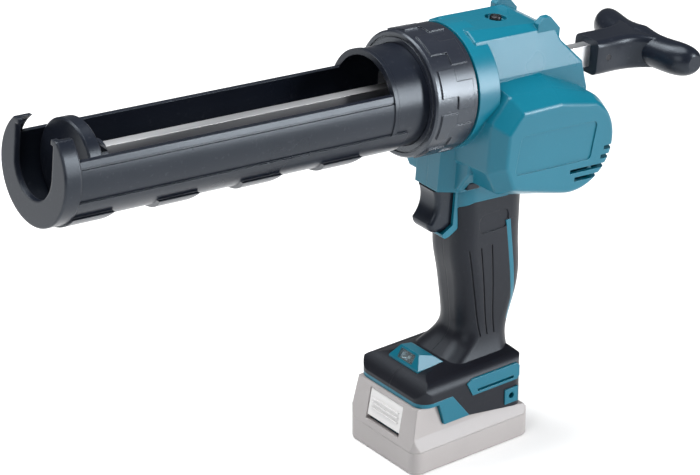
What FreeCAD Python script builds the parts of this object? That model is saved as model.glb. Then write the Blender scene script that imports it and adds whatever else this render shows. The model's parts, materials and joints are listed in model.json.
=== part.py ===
import FreeCAD, Part
import math
import os

# Cordless caulking tool, standing on its battery pack.
# Part frame: origin at the centre of the pack's underside, +Z up, nozzle end towards -X, left side -Y.
# The barrel, the mechanism and the upper housing are drawn in a barrel frame (x rearwards along the
# push rod's axis) that is pitched nose-up against the pack and placed by on_barrel().

V = FreeCAD.Vector
SIDES = (-1, 1)

# Placing of the barrel frame
BARREL_PITCH_DEG = 5.3
BARREL_X = -3.2
BARREL_Z = 234.0

# Clearances and wall thicknesses
FIT_GAP = 0.3
RUN_GAP = 0.05
OVERRUN = 40.0
WALL = 2.6
SKIN = 2.2

# Cartridge holder
HOLDER_INNER_R = 27.0
HOLDER_WALL = 3.0
HOLDER_FRONT_X = -276.0
HOLDER_REAR_X = -24.0
HOLDER_RIM_Z = 12.5
HOLDER_ARCH_X = -56.0
HOLDER_FLANGE_R = 34.2
HOLDER_FLANGE_LEN = 3.0
RIM_GROOVE_Z = 8.6
RIM_GROOVE_WIDTH = 1.0
RIM_GROOVE_DEPTH = 0.8
KEEL_PROUD = 1.2
KEEL_TOP_Z = -11.0
KEEL_REAR_X = -44.0
KEEL_PAD_COUNT = 4
KEEL_PAD_LEN = 22.0
KEEL_PAD_SLOPE = 5.0
KEEL_PAD_PROUD = 2.0
KEEL_PAD_TOP_Z = -22.0
BEAD_LEN = 3.0
BEAD_PROUD = 0.7

# Front cap
CAP_R = 32.0
CAP_WALL = 3.7
CAP_LEN = 10.6
CAP_SLOT_R = 18.6
CAP_SLOT_Z = 2.0
CAP_HORN_Z = 24.0
CAP_LIP_HEIGHT = 3.0
CAP_LIP_REACH = 2.4
CAP_ROUND = 1.0

# Lock collar
COLLAR_R = 37.4
COLLAR_FRONT_X = -31.3
COLLAR_REAR_X = -0.5
COLLAR_LIP_LEN = 3.6
COLLAR_PAD_COUNT = 9
COLLAR_PAD_PROUD = 0.9
COLLAR_PAD_EDGE = 4.0
COLLAR_PAD_SHARE = 0.62
COLLAR_PAD_STEP_SHARE = 0.3
COLLAR_CHAMFER = 1.0
COLLAR_GROOVE_WIDTH = 1.0
COLLAR_GROOVE_DEPTH = 0.8

# Front bracket that carries the collar
SPIGOT_R = 34.4
SPIGOT_INNER_R = 27.2
BRACKET_PLATE_X = -0.5
BRACKET_PLATE_LEN = 5.0

# Push rod and rack
ROD_WIDTH = 7.0
ROD_TOP_Z = 7.0
ROD_BOTTOM_Z = -6.5
ROD_END_DEPTH = 6.0
ROD_REAR_X = 144.0
RACK_MODULE = 1.25
RACK_START = 43.0
RACK_REAR_X = 57.0
TOOTH_ADDENDUM_SHARE = 0.75
TOOTH_DEDENDUM_SHARE = 1.0
PRESSURE_ANGLE_DEG = 20.0
BACKLASH = 0.12
FLANK_STEPS = 3

# Piston
PISTON_R = 25.6
PISTON_REST_GAP = 17.0
PISTON_DISC_LEN = 4.0
PISTON_SKIRT_LEN = 5.0
PISTON_SKIRT_WALL = 2.2
PISTON_BOSS_R = 10.5
PISTON_BOSS_LEN = 18.0
PISTON_FIN_COUNT = 4
PISTON_FIN_THICK = 2.4
PISTON_FIN_TURN_DEG = 45.0
PISTON_SCREW_R = 5.2
PISTON_SCREW_LEN = 2.2
PISTON_CHAMFER = 1.0

# Pull handle
HUB_FRONT_X = 113.0
HUB_LEN = 42.0
HUB_HALF_HEIGHT = 11.0
HUB_HALF_WIDTH = 10.5
HUB_ROUND = 4.0
HUB_ALONG_SHARES = (0.0, 0.3, 0.6, 0.84, 1.0)
HUB_WIDTH_SHARES = (1.0, 1.0, 1.05, 1.45, 2.2)
HUB_HEIGHT_SHARES = (1.0, 1.0, 1.0, 0.95, 0.84)
BAR_X = 155.0
BAR_SWEEP = 8.0
BAR_HALF_LEN = 42.6
BAR_ROOT_R = 11.6
BAR_NECK_R = 10.2
BAR_TIP_R = 8.8
BAR_END_R = 5.0
BAR_ALONG_SHARES = (0.0, 0.28, 0.62, 0.90, 1.0)
PIN_R = 2.0
PIN_X = 122.0

# Upper housing, barrel frame
NOSE_R = 37.8
NOSE_LEN = 15.0
NOSE_BORE_LEN = 9.0
BODY_LENGTH = 92.0
BODY_TOP = 37.0
BODY_HALF = 27.0
BODY_SIDE_SHARES = ((0.06, 1.0), (0.62, 0.95), (0.735, 0.83), (0.77, 0.65), (0.935, 0.27),
                    (1.0, -0.21), (1.0, -1.05), (0.85, -1.66), (0.06, -1.66))
BODY_FRONT_SHARES = ((0.50, 1.0), (0.80, 0.88), (0.98, 0.30), (1.22, 0.02), (1.22, -1.50), (1.02, -1.66),
                     (-0.66, -1.66), (-1.0, -1.3), (-1.0, 0.24), (-0.80, 0.88), (-0.50, 1.0))
BODY_ROUND = 1.5
EAR_FRONT_X = 53.0
EAR_LEN = 9.0
EAR_OUT_Y = 22.0
EAR_THICK = 4.5
EAR_TOP_Z = 39.5
EAR_RAMP = 8.0
EAR_DEPTH = 16.0
EAR_SINK = 1.0
THROAT_FRONT_X = -3.0
THROAT_FRONT_HALF = 10.5
THROAT_HALF = 17.6
THROAT_FLARE_X = 9.0
THROAT_REAR_X = 58.0
THROAT_TOP_Z = -22.0
THROAT_LOW_Z = -63.0
GUARD_SHARES = ((-0.35, 1.52), (0.10, 1.52), (0.17, 1.35), (0.23, 1.19), (0.36, 1.14), (0.79, 1.14),
                (0.91, 1.05), (1.38, 0.95), (1.38, 0.35), (-0.35, 0.35))
ROD_PORT_GAP = 1.0

# Motor bulge on the left side, as outlines round the motor's axis
BULGE_ROOT_Y = -14.0
BULGE_SHOULDER_Y = -41.0
BULGE_FACE_Y = -50.0
BULGE_R = 33.0
BULGE_FRONT = 63.0
BULGE_HEIGHT = 43.0
BULGE_ROOT_SHARES = ((0.83, -0.57), (1.0, -0.21), (1.0, 0.55), (0.78, 1.0), (0.24, 1.05))
BULGE_SHOULDER_SHARES = ((0.81, -0.55), (0.95, -0.21), (0.95, 0.50), (0.75, 0.84), (0.24, 0.86))
BULGE_FACE_SHARES = ((0.72, -0.44), (0.83, -0.10), (0.83, 0.37), (0.68, 0.66), (0.22, 0.68))
BULGE_RADIUS_SHARES = (1.0, 0.98, 0.87)
BULGE_ARC_DEG = (62.0, -20.0, -102.0)
BULGE_ROUND = 3.5
PANEL_DEPTH = 0.8
PANEL_LEN = 58.0
PANEL_HEIGHT = 24.0
PANEL_FRONT_X = 24.0
PANEL_TOP_Z = -19.0
PANEL_SLANT = 3.0
PANEL_ROUND = 3.0
VENT_HEIGHT = 2.6
VENT_PITCH = 5.5
VENT_TOP_Z = -36.3
VENT_REAR_X = 108.0
VENT_LENGTHS = (19.0, 21.0, 44.0, 40.0)

# Handle, part frame
HANDLE_X = 26.0
HANDLE_BOTTOM_Z = 50.0
HANDLE_TOP_Z = 182.0
HANDLE_HALF_DEPTH = 24.8
HANDLE_HALF_WIDTH = 18.0
HANDLE_ROUND = 12.0
HANDLE_X_SHARES = (0.60, 0.83, 1.03, 1.085, 1.073, 1.01, 1.008, 1.02, 1.045, 1.07)
HANDLE_DEPTH_SHARES = (1.03, 0.81, 0.79, 0.90, 0.955, 0.995, 1.008, 1.02, 1.03, 1.05)
HANDLE_WIDTH_SHARES = (1.35, 1.03, 0.94, 0.97, 1.0, 1.0, 0.99, 0.98, 0.975, 0.97)
STRIP_WIDTH = 3.2
STRIP_LOW_Z = 74.0
STRIP_TOP_Z = 142.0
STRIP_LOW_X = 37.6
STRIP_MIDDLE_X = 40.6
STRIP_MIDDLE_Z = 88.0
STRIP_TOP_X = 35.2
GROOVE_COUNT = 3
GROOVE_WIDTH = 0.9
GROOVE_DEPTH = 0.7
GROOVE_TOP_X = 8.0
GROOVE_TOP_PITCH = 8.3
GROOVE_TOP_Z = 129.0
GROOVE_LOW_X = 17.0
GROOVE_LOW_PITCH = 5.2
GROOVE_LOW_Z = 69.0
THUMB_LEN = 22.0
THUMB_HEIGHT = 12.0
THUMB_Z = 144.0
THUMB_ROUND = 4.0

# Foot, part frame
FOOT_FRONT_X = -38.5
FOOT_REAR_X = 41.0
FOOT_HALF = 31.5
FOOT_CORNER_R = 9.0
FOOT_LIP_Z = 42.5
FOOT_LIP_THICK = 2.6
FOOT_NOSE_Z = 47.5
FOOT_BROW_X = -34.0
FOOT_BROW_Z = 53.6
FOOT_ROOF_X = -22.0
FOOT_ROOF_Z = 58.2
FOOT_CREST_Z = 60.0
FOOT_CROWN_R = 86.0
FOOT_SHOULDER_X = 29.0
FOOT_SHOULDER_Z = 61.5
FOOT_HIP_X = 37.5
FOOT_HIP_Z = 58.0
FOOT_BACK_Z = 50.0
FOOT_TAB_FRONT_X = -25.0
FOOT_TAB_X = -21.0
FOOT_TAB_REAR_X = -2.0
FOOT_TAB_HEAD_X = -15.0
FOOT_TAB_Z = 28.0
FOOT_REAR_LOW_Z = 21.5
FOOT_RIM = 7.0
FOOT_RIM_Z = 48.5

# Hook plates, hook nuts
HOOK_FRONT_X = -4.5
HOOK_LEN = 40.5
HOOK_LOW_Z = 41.0
HOOK_HEIGHT = 11.0
HOOK_PROUD = 0.8
HOOK_POINT = 4.5
HOOK_CORNER = 2.0
HOOK_SLOT_LEN = 28.0
HOOK_SLOT_HEIGHT = 1.8
HOOK_SLOT_REAR = 4.5
HOOK_SLOT_RISE = 1.6
NUT_X = 30.0
NUT_Z = 31.0
NUT_HALF = 5.0
NUT_DEPTH = 8.0
NUT_PROUD = 0.8
NUT_HOLE_R = 2.0
NUT_HOLE_LEN = 6.5

# Lamp
LAMP_FRONT_X = -28.0
LAMP_CHIN_Z = 58.5
LAMP_BROW_X = -23.0
LAMP_BROW_Z = 66.0
LAMP_CROWN_X = -14.0
LAMP_CROWN_Z = 63.5
LAMP_REAR_X = -8.5
LAMP_HEEL_Z = 59.0
LAMP_HALF = 14.0
LAMP_TOP_HALF = 8.5
LAMP_FLOOR_Z = 50.0
LENS_HALF = 6.8
LENS_THICK = 1.6
LENS_EDGE = 1.4
LAMP_CAVITY_DEPTH = 3.4
LAMP_BOARD_THICK = 1.2

# Trigger and lock button, barrel frame
TRIGGER_HALF = 9.2
TRIGGER_TOP_Z = -64.0
TRIGGER_LOW_Z = -91.0
TRIGGER_FRONT_X = -3.0
TRIGGER_WAIST_X = -1.0
TRIGGER_WAIST_Z = -75.0
TRIGGER_TOE_X = -5.5
TRIGGER_TOE_Z = -84.5
TRIGGER_SOLE_X = -3.6
TRIGGER_SOLE_Z = -89.1
TRIGGER_HEEL_X = 1.0
TRIGGER_REAR_X = 19.0
TRIGGER_ROUND = 3.2
SHROUD_HALF = 11.6
SHROUD_REAR_X = 30.0
SHROUD_SHARES = ((0.35, 0.95), (0.35, 1.37), (0.10, 1.449), (0.11, 1.475), (0.17, 1.495), (0.27, 1.485),
                 (0.45, 1.43), (0.58, 1.34), (0.66, 1.22), (1.0, 1.14), (1.0, 0.95))
TRIGGER_TRAVEL = 6.0
SWITCH_LEN = 26.0
SWITCH_HALF = 9.0
SWITCH_HEIGHT = 26.0
LOCK_X = 12.0
LOCK_LEN = 9.0
LOCK_LOW_Z = -61.5
LOCK_HEIGHT = 5.0
LOCK_PROUD = 3.0
LOCK_ROUND = 1.2

# Gear train, barrel frame, all axes along Y
PINION_X = 24.0
PINION_TEETH = 16
WHEEL_TEETH = (42, 42, 36)
SMALL_TEETH = 12
TRAIN_MODULES = (0.6, 0.8, 1.0)
SECOND_GEAR_ANGLE_DEG = -70.0
MOTOR_X = 67.0
MOTOR_Z = -33.0
PLATE_THICK = 2.5
INNER_PLATE_Y = 4.2
FINAL_WHEEL_Y = 8.0
WHEEL_WIDTH = 5.0
LAYER_PITCH = 6.8
OUTER_PLATE_Y = 27.6
JOURNAL_R = 2.0
PINION_SHAFT_R = 3.5
PINION_BEARING_Y = -9.0
PINION_BEARING_LEN = 4.4
PINION_BEARING_R = 7.0
CLUTCH_R = 5.4
CLUTCH_LEN = 5.0
PLATE_RIM = 3.0
PILLAR_R = 2.2
PILLAR_SHARES = ((0.134, -0.986), (0.652, -1.35), (0.674, -0.27))
PLATE_EDGE_SHARES = ((0.80, -0.89), (0.20, -0.27))
RIB_THICK = 2.5
RIB_RISE = 3.0

# Motor
CAN_R = 18.0
CAN_WALL = 1.5
CAN_LEN = 38.0
BELL_LEN = 4.5
ARMATURE_R = 14.0
ARMATURE_LEN = 26.0
MOTOR_SHAFT_R = 1.5
FAN_R = 14.5
FAN_LEN = 4.0
FAN_HUB_R = 4.0
FAN_BLADES = 9
FAN_BLADE_THICK = 1.0
CRADLE_THICK = 2.5
CRADLE_Y = (-33.0, -12.0)

# Rod guide at the rear
GUIDE_INSET = 16.0
GUIDE_LEN = 8.0
GUIDE_HALF = 7.0
GUIDE_RIM = 4.0
GUIDE_SEAT = 5.0

# Screws
SCREW_R = 1.5
SCREW_LEN = 18.0
SCREW_HEAD_R = 3.2
SCREW_HEAD_LEN = 2.4
SCREW_SINK = 1.6
BOSS_R = 4.4
BODY_SCREWS_SHARES = ((0.20, 0.68), (0.64, 0.70), (0.53, -1.54))
HANDLE_SCREW_HEIGHT_SHARE = 0.40
TOP_SCREW_X = 38.6
TOP_SCREW_HEAD_R = 3.6
TOP_SCREW_DISH_R = 6.5
TOP_SCREW_DISH = 1.8
TOP_SCREW_LEN = 9.0

# Battery pack, part frame
PACK_HALF_LEN = 44.8
PACK_HALF_WIDTH = 33.0
PACK_CORNER_R = 7.0
PACK_SPLIT_Z = 15.0
PACK_ROUND = 1.6
PACK_TOWER_X = -39.6
PACK_BEVEL_Z = 24.0
PACK_BEVEL_HALF = 30.0
PACK_TOP_HALF = 28.5
TONGUE_HALF = 18.0
TONGUE_RAIL = 4.0
TONGUE_NECK_Z = 33.0
TONGUE_RAIL_Z = 39.6
TONGUE_REAR_X = 33.0
PACK_WALL = 2.4
CELL_R = 9.0
CELL_LEN = 46.0
CELL_COUNT = 4
CELL_PITCH = 19.5
CELL_FRONT_X = -31.0
BUTTON_HALF = 15.5
BUTTON_LOW_Z = 22.0
BUTTON_TOP_Z = 39.0
BUTTON_THICK = 3.0
BUTTON_SINK = 0.5
BUTTON_TRAVEL = 2.5
RIDGE_COUNT = 3
RIDGE_HEIGHT = 0.9
RIDGE_PITCH = 3.0
BLADE_COUNT = 2
BLADE_THICK = 0.8
BLADE_PITCH = 20.0
BLADE_LEN = 9.0
BLADE_X = 20.0
BLADE_DROP = 6.0
TERMINAL_LEN = 12.0
TERMINAL_HALF = 17.0
TERMINAL_HEIGHT = 6.0
BOARD_LEN = 34.0
BOARD_HALF = 19.0
BOARD_THICK = 1.6
BOARD_X = -18.0
COIL_R = 4.0
COIL_HEIGHT = 6.0
PACK_SCREW_X = 38.0
PACK_SCREW_Y = 28.0
PACK_SCREW_LEN = 14.0
BAY_LIFT = 2.4


# Plain solids

def box(x0, x1, y0, y1, z0, z1):
    return Part.makeBox(x1 - x0, y1 - y0, z1 - z0, V(x0, y0, z0))


def rod_x(x0, x1, radius, y=0, z=0):
    return Part.makeCylinder(radius, x1 - x0, V(x0, y, z), V(1, 0, 0))


def rod_y(y0, y1, radius, x, z):
    return Part.makeCylinder(radius, y1 - y0, V(x, y0, z), V(0, 1, 0))


def rod_z(z0, z1, radius, x, y):
    return Part.makeCylinder(radius, z1 - z0, V(x, y, z0), V(0, 0, 1))


def closed_face(points):
    return Part.Face(Part.makePolygon(points + points[:1]))


def prism_x(points, x0, x1):
    """Outline of (y, z) points drawn out along X."""
    return closed_face([V(x0, y, z) for y, z in points]).extrude(V(x1 - x0, 0, 0))


def prism_y(points, y0, y1):
    """Outline of (x, z) points drawn out along Y."""
    return closed_face([V(x, y0, z) for x, z in points]).extrude(V(0, y1 - y0, 0))


def prism_z(points, z0, z1):
    """Outline of (x, y) points drawn out along Z."""
    return closed_face([V(x, y, z0) for x, y in points]).extrude(V(0, 0, z1 - z0))


def shifted(points, inset):
    """Outline with every side moved inwards by inset, corners kept sharp."""
    count = len(points)
    area = sum(points[i][0] * points[(i + 1) % count][1] - points[(i + 1) % count][0] * points[i][1]
               for i in range(count))
    turn = 1 if area > 0 else -1
    lines = []
    for i in range(count):
        (ax, ay), (bx, by) = points[i], points[(i + 1) % count]
        length = math.hypot(bx - ax, by - ay)
        nx, ny = -turn * (by - ay) / length, turn * (bx - ax) / length
        lines.append((nx, ny, nx * ax + ny * ay + inset))
    moved = []
    for i in range(count):
        (a, b, e), (c, d, f) = lines[i - 1], lines[i]
        det = a * d - b * c
        moved.append(((e * d - b * f) / det, (a * f - e * c) / det))
    return moved


def rounded_wire(cx, half_x, half_y, radius, z):
    """Rounded rectangle at height z, centred on (cx, 0)."""
    edges = []
    last = None
    first = None
    for k in range(4):
        middle = math.radians(45 + 90 * k)
        sx = 1 if math.cos(middle) > 0 else -1
        sy = 1 if math.sin(middle) > 0 else -1
        centre = V(cx + sx * (half_x - radius), sy * (half_y - radius), z)
        ends = []
        for turn_deg in (0, 45, 90):
            angle = math.radians(90 * k + turn_deg)
            ends.append(centre + V(radius * math.cos(angle), radius * math.sin(angle), 0))
        if last is not None:
            edges.append(Part.makeLine(last, ends[0]))
        else:
            first = ends[0]
        edges.append(Part.Arc(ends[0], ends[1], ends[2]).toShape())
        last = ends[2]
    edges.append(Part.makeLine(last, first))
    return Part.Wire(edges)


def rounded_block(cx, half_x, half_y, radius, z0, z1):
    return Part.Face(rounded_wire(cx, half_x, half_y, radius, z0)).extrude(V(0, 0, z1 - z0))


def fused(shapes):
    return shapes[0].multiFuse(shapes[1:]).removeSplitter()


def on_barrel(shape):
    placed = shape.copy()
    tilt = FreeCAD.Rotation(V(0, 1, 0), BARREL_PITCH_DEG)
    placed.Placement = FreeCAD.Placement(V(BARREL_X, 0, BARREL_Z), tilt).multiply(shape.Placement)
    return placed


def off_barrel(shape):
    """Part-frame shape expressed in the barrel frame."""
    placed = shape.copy()
    tilt = FreeCAD.Rotation(V(0, 1, 0), BARREL_PITCH_DEG)
    back = FreeCAD.Placement(V(BARREL_X, 0, BARREL_Z), tilt).inverse()
    placed.Placement = back.multiply(shape.Placement)
    return placed


def mirrored(shape):
    return shape.mirror(V(0, 0, 0), V(0, 1, 0))


def half_space(side):
    far = BARREL_Z + OVERRUN
    low, high = (-far, 0) if side < 0 else (0, far)
    return box(-far, far, low, high, -far, far)


# Cartridge holder, cap, collar and bracket, barrel frame

HOLDER_R = HOLDER_INNER_R + HOLDER_WALL
CAP_FRONT_X = HOLDER_FRONT_X - CAP_WALL
PISTON_FRONT_X = HOLDER_FRONT_X + PISTON_REST_GAP
ROD_FRONT_X = PISTON_FRONT_X + ROD_END_DEPTH
GUIDE_X = BODY_LENGTH - GUIDE_INSET


def holder_keel():
    """Thicker underside of the trough, with a row of low pads that have sloping ends."""
    front = CAP_FRONT_X + CAP_LEN + FIT_GAP
    keel = rod_x(front, KEEL_REAR_X, HOLDER_R + KEEL_PROUD)
    keel = keel.common(box(front, KEEL_REAR_X, -OVERRUN, OVERRUN, -OVERRUN, KEEL_TOP_Z))
    pad_r = HOLDER_R + KEEL_PROUD + KEEL_PAD_PROUD
    pitch = (KEEL_REAR_X - front) / KEEL_PAD_COUNT
    pads = []
    for k in range(KEEL_PAD_COUNT):
        x = front + pitch * k
        outline = [(x, KEEL_PAD_TOP_Z), (x + KEEL_PAD_LEN + KEEL_PAD_SLOPE, KEEL_PAD_TOP_Z),
                   (x + KEEL_PAD_LEN, -pad_r), (x + min(k, 1) * KEEL_PAD_SLOPE, -pad_r)]
        pads.append(rod_x(front, KEEL_REAR_X, pad_r).common(prism_y(outline, -OVERRUN, OVERRUN)))
    return fused([keel] + pads)


def holder_tube():
    tube = rod_x(HOLDER_FRONT_X, HOLDER_REAR_X, HOLDER_R)
    flange = rod_x(HOLDER_REAR_X - HOLDER_FLANGE_LEN, HOLDER_REAR_X, HOLDER_FLANGE_R)
    bead = rod_x(HOLDER_ARCH_X, HOLDER_ARCH_X + BEAD_LEN, HOLDER_R + BEAD_PROUD)
    solid = fused([tube, holder_keel(), flange, bead])
    solid = solid.cut(rod_x(HOLDER_FRONT_X - OVERRUN, HOLDER_REAR_X + OVERRUN, HOLDER_INNER_R))
    solid = solid.cut(box(HOLDER_FRONT_X - OVERRUN, HOLDER_ARCH_X, -OVERRUN, OVERRUN, HOLDER_RIM_Z, OVERRUN))
    groove = box(CAP_FRONT_X + CAP_LEN, HOLDER_ARCH_X, -OVERRUN, OVERRUN,
                 RIM_GROOVE_Z - RIM_GROOVE_WIDTH / 2, RIM_GROOVE_Z + RIM_GROOVE_WIDTH / 2)
    groove = groove.cut(rod_x(HOLDER_FRONT_X, HOLDER_REAR_X, HOLDER_R - RIM_GROOVE_DEPTH))
    return solid.cut(groove)


def front_cap():
    rear = CAP_FRONT_X + CAP_LEN
    cap = rod_x(CAP_FRONT_X, rear, CAP_R)
    cap = cap.makeFillet(CAP_ROUND, [e for e in cap.Edges if e.BoundBox.XMax < CAP_FRONT_X + CAP_ROUND])
    cap = cap.cut(rod_x(HOLDER_FRONT_X, rear + OVERRUN, HOLDER_R + RUN_GAP))
    slot = rod_x(CAP_FRONT_X - OVERRUN, rear + OVERRUN, CAP_SLOT_R, 0, CAP_SLOT_Z)
    lip_z = CAP_HORN_Z - CAP_LIP_HEIGHT
    slot = slot.fuse(box(CAP_FRONT_X - OVERRUN, rear + OVERRUN, -CAP_SLOT_R, CAP_SLOT_R, CAP_SLOT_Z, lip_z))
    gate = CAP_SLOT_R - CAP_LIP_REACH
    slot = slot.fuse(box(CAP_FRONT_X - OVERRUN, rear + OVERRUN, -gate, gate, CAP_SLOT_Z, OVERRUN))
    above = box(CAP_FRONT_X - OVERRUN, rear + OVERRUN, -OVERRUN, OVERRUN, CAP_HORN_Z, CAP_HORN_Z + OVERRUN)
    return cap.cut(slot).cut(above)


def ring_sector(x0, x1, radius, middle, half):
    """Piece of a disc between two angles."""
    wedge = prism_x([(0, 0)] + [(OVERRUN * math.cos(a), OVERRUN * math.sin(a))
                                for a in (middle - half, middle, middle + half)], x0, x1)
    return rod_x(x0, x1, radius).common(wedge)


def collar_pads():
    """Raised grip pads, each with its rear half stepped round from its front half."""
    step = 2 * math.pi / COLLAR_PAD_COUNT
    half = step * COLLAR_PAD_SHARE / 2
    turn = step * COLLAR_PAD_STEP_SHARE / 2
    front = COLLAR_FRONT_X + COLLAR_PAD_EDGE
    rear = COLLAR_REAR_X - COLLAR_PAD_EDGE
    middle = (front + rear) / 2
    radius = COLLAR_R + COLLAR_PAD_PROUD
    pads = []
    for k in range(COLLAR_PAD_COUNT):
        pads.append(ring_sector(front, middle, radius, k * step - turn, half))
        pads.append(ring_sector(middle, rear, radius, k * step + turn, half))
    return pads


def lock_collar():
    ring = rod_x(COLLAR_FRONT_X, COLLAR_REAR_X, COLLAR_R)
    ring = ring.makeChamfer(COLLAR_CHAMFER, [e for e in ring.Edges if e.BoundBox.XLength < COLLAR_CHAMFER])
    ring = fused([ring] + collar_pads())
    ring = ring.cut(rod_x(COLLAR_FRONT_X + COLLAR_LIP_LEN, OVERRUN, SPIGOT_R + FIT_GAP))
    ring = ring.cut(rod_x(COLLAR_FRONT_X - OVERRUN, OVERRUN, HOLDER_R + FIT_GAP))
    groove = rod_x(COLLAR_FRONT_X, COLLAR_FRONT_X + COLLAR_GROOVE_DEPTH, SPIGOT_R)
    groove = groove.cut(rod_x(COLLAR_FRONT_X, OVERRUN, SPIGOT_R - COLLAR_GROOVE_WIDTH))
    return ring.cut(groove)


def rod_hole(x0, x1, gap):
    half = ROD_WIDTH / 2 + gap
    return box(x0, x1, -half, half, ROD_BOTTOM_Z - gap, ROD_TOP_Z + gap)


def front_bracket():
    plate_rear = BRACKET_PLATE_X + BRACKET_PLATE_LEN
    solid = rod_x(HOLDER_REAR_X, plate_rear, SPIGOT_R)
    solid = solid.cut(rod_x(HOLDER_REAR_X - OVERRUN, BRACKET_PLATE_X, SPIGOT_INNER_R))
    return solid.cut(rod_hole(-OVERRUN, OVERRUN, FIT_GAP))


# Push rod with its rack, piston and pull handle, barrel frame

RACK_PITCH = math.pi * RACK_MODULE
RACK_LINE_Z = ROD_BOTTOM_Z + TOOTH_ADDENDUM_SHARE * RACK_MODULE
PINION_R = RACK_MODULE * PINION_TEETH / 2
PINION_Z = RACK_LINE_Z - PINION_R
PRESSURE_ANGLE = math.radians(PRESSURE_ANGLE_DEG)


def push_rod():
    """Flat bar whose underside is cut as a rack, with a gap standing over the pinion's axis."""
    root_z = RACK_LINE_Z + TOOTH_DEDENDUM_SHARE * RACK_MODULE
    slope = math.tan(PRESSURE_ANGLE)
    tip_half = RACK_PITCH / 4 + BACKLASH / 2 + (RACK_LINE_Z - ROD_BOTTOM_Z) * slope
    root_half = RACK_PITCH / 4 + BACKLASH / 2 - (root_z - RACK_LINE_Z) * slope
    rack_front = ROD_FRONT_X + RACK_START
    first = PINION_X - round((PINION_X - rack_front) / RACK_PITCH) * RACK_PITCH
    points = [(ROD_FRONT_X, ROD_TOP_Z), (ROD_FRONT_X, ROD_BOTTOM_Z)]
    for k in range(round((RACK_REAR_X - rack_front) / RACK_PITCH)):
        x = first + k * RACK_PITCH
        points += [(x - tip_half, ROD_BOTTOM_Z), (x - root_half, root_z),
                   (x + root_half, root_z), (x + tip_half, ROD_BOTTOM_Z)]
    points += [(ROD_REAR_X, ROD_BOTTOM_Z), (ROD_REAR_X, ROD_TOP_Z)]
    bar = prism_y(points, -ROD_WIDTH / 2, ROD_WIDTH / 2)
    return bar.cut(rod_y(-OVERRUN, OVERRUN, PIN_R, PIN_X, 0))


def piston():
    disc_rear = PISTON_FRONT_X + PISTON_DISC_LEN
    disc = rod_x(PISTON_FRONT_X, disc_rear + PISTON_SKIRT_LEN, PISTON_R)
    disc = disc.makeChamfer(PISTON_CHAMFER, [e for e in disc.Edges if e.BoundBox.XLength < PISTON_CHAMFER])
    disc = disc.cut(rod_x(disc_rear, OVERRUN, PISTON_R - PISTON_SKIRT_WALL))
    boss = rod_x(disc_rear, disc_rear + PISTON_BOSS_LEN, PISTON_BOSS_R)
    reach = PISTON_R - PISTON_SKIRT_WALL / 2
    fin = prism_y([(disc_rear, 0), (disc_rear, reach), (disc_rear + PISTON_SKIRT_LEN, reach),
                   (disc_rear + PISTON_BOSS_LEN, PISTON_BOSS_R), (disc_rear + PISTON_BOSS_LEN, 0)],
                  -PISTON_FIN_THICK / 2, PISTON_FIN_THICK / 2)
    pieces = [disc, boss]
    for k in range(PISTON_FIN_COUNT):
        blade = fin.copy()
        blade.rotate(V(0, 0, 0), V(1, 0, 0), PISTON_FIN_TURN_DEG + 360 * k / PISTON_FIN_COUNT)
        pieces.append(blade)
    solid = fused(pieces)
    solid = solid.cut(box(ROD_FRONT_X, OVERRUN, -ROD_WIDTH / 2, ROD_WIDTH / 2, ROD_BOTTOM_Z, ROD_TOP_Z))
    return solid.cut(rod_x(PISTON_FRONT_X, PISTON_FRONT_X + PISTON_SCREW_LEN, PISTON_SCREW_R))


def piston_screw():
    return rod_x(PISTON_FRONT_X, PISTON_FRONT_X + PISTON_SCREW_LEN, PISTON_SCREW_R - RUN_GAP)


def bar_arm():
    """One arm of the pull handle: circles on a line that sweeps back, closed by a small end."""
    radii = (BAR_ROOT_R, BAR_NECK_R, BAR_NECK_R, BAR_TIP_R, BAR_END_R)
    wires = []
    for share, radius in zip(BAR_ALONG_SHARES, radii):
        centre = V(BAR_X + BAR_SWEEP * share * share, BAR_HALF_LEN * share, 0)
        wires.append(Part.Wire(Part.makeCircle(radius, centre, V(0, 1, 0))))
    return Part.makeLoft(wires, True)


def hub_block():
    """Hub that flares sideways into the bar: rounded rectangles drawn along X."""
    wires = []
    for along, width, height in zip(HUB_ALONG_SHARES, HUB_WIDTH_SHARES, HUB_HEIGHT_SHARES):
        wires.append(rounded_wire(0, HUB_HALF_HEIGHT * height, HUB_HALF_WIDTH * width, HUB_ROUND,
                                  HUB_FRONT_X + HUB_LEN * along))
    hub = Part.makeLoft(wires, True)
    hub.rotate(V(0, 0, 0), V(0, 1, 0), 90)
    return hub


def pull_handle():
    hub = hub_block()
    arm = bar_arm()
    solid = fused([hub, arm, mirrored(arm)])
    solid = solid.cut(box(HUB_FRONT_X - OVERRUN, ROD_REAR_X, -ROD_WIDTH / 2, ROD_WIDTH / 2,
                          ROD_BOTTOM_Z, ROD_TOP_Z))
    return solid.cut(rod_y(-OVERRUN, OVERRUN, PIN_R, PIN_X, 0))


def pull_handle_pin():
    return rod_y(-HUB_HALF_WIDTH, HUB_HALF_WIDTH, PIN_R - RUN_GAP, PIN_X, 0)


# Gear train and motor, barrel frame

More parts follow.
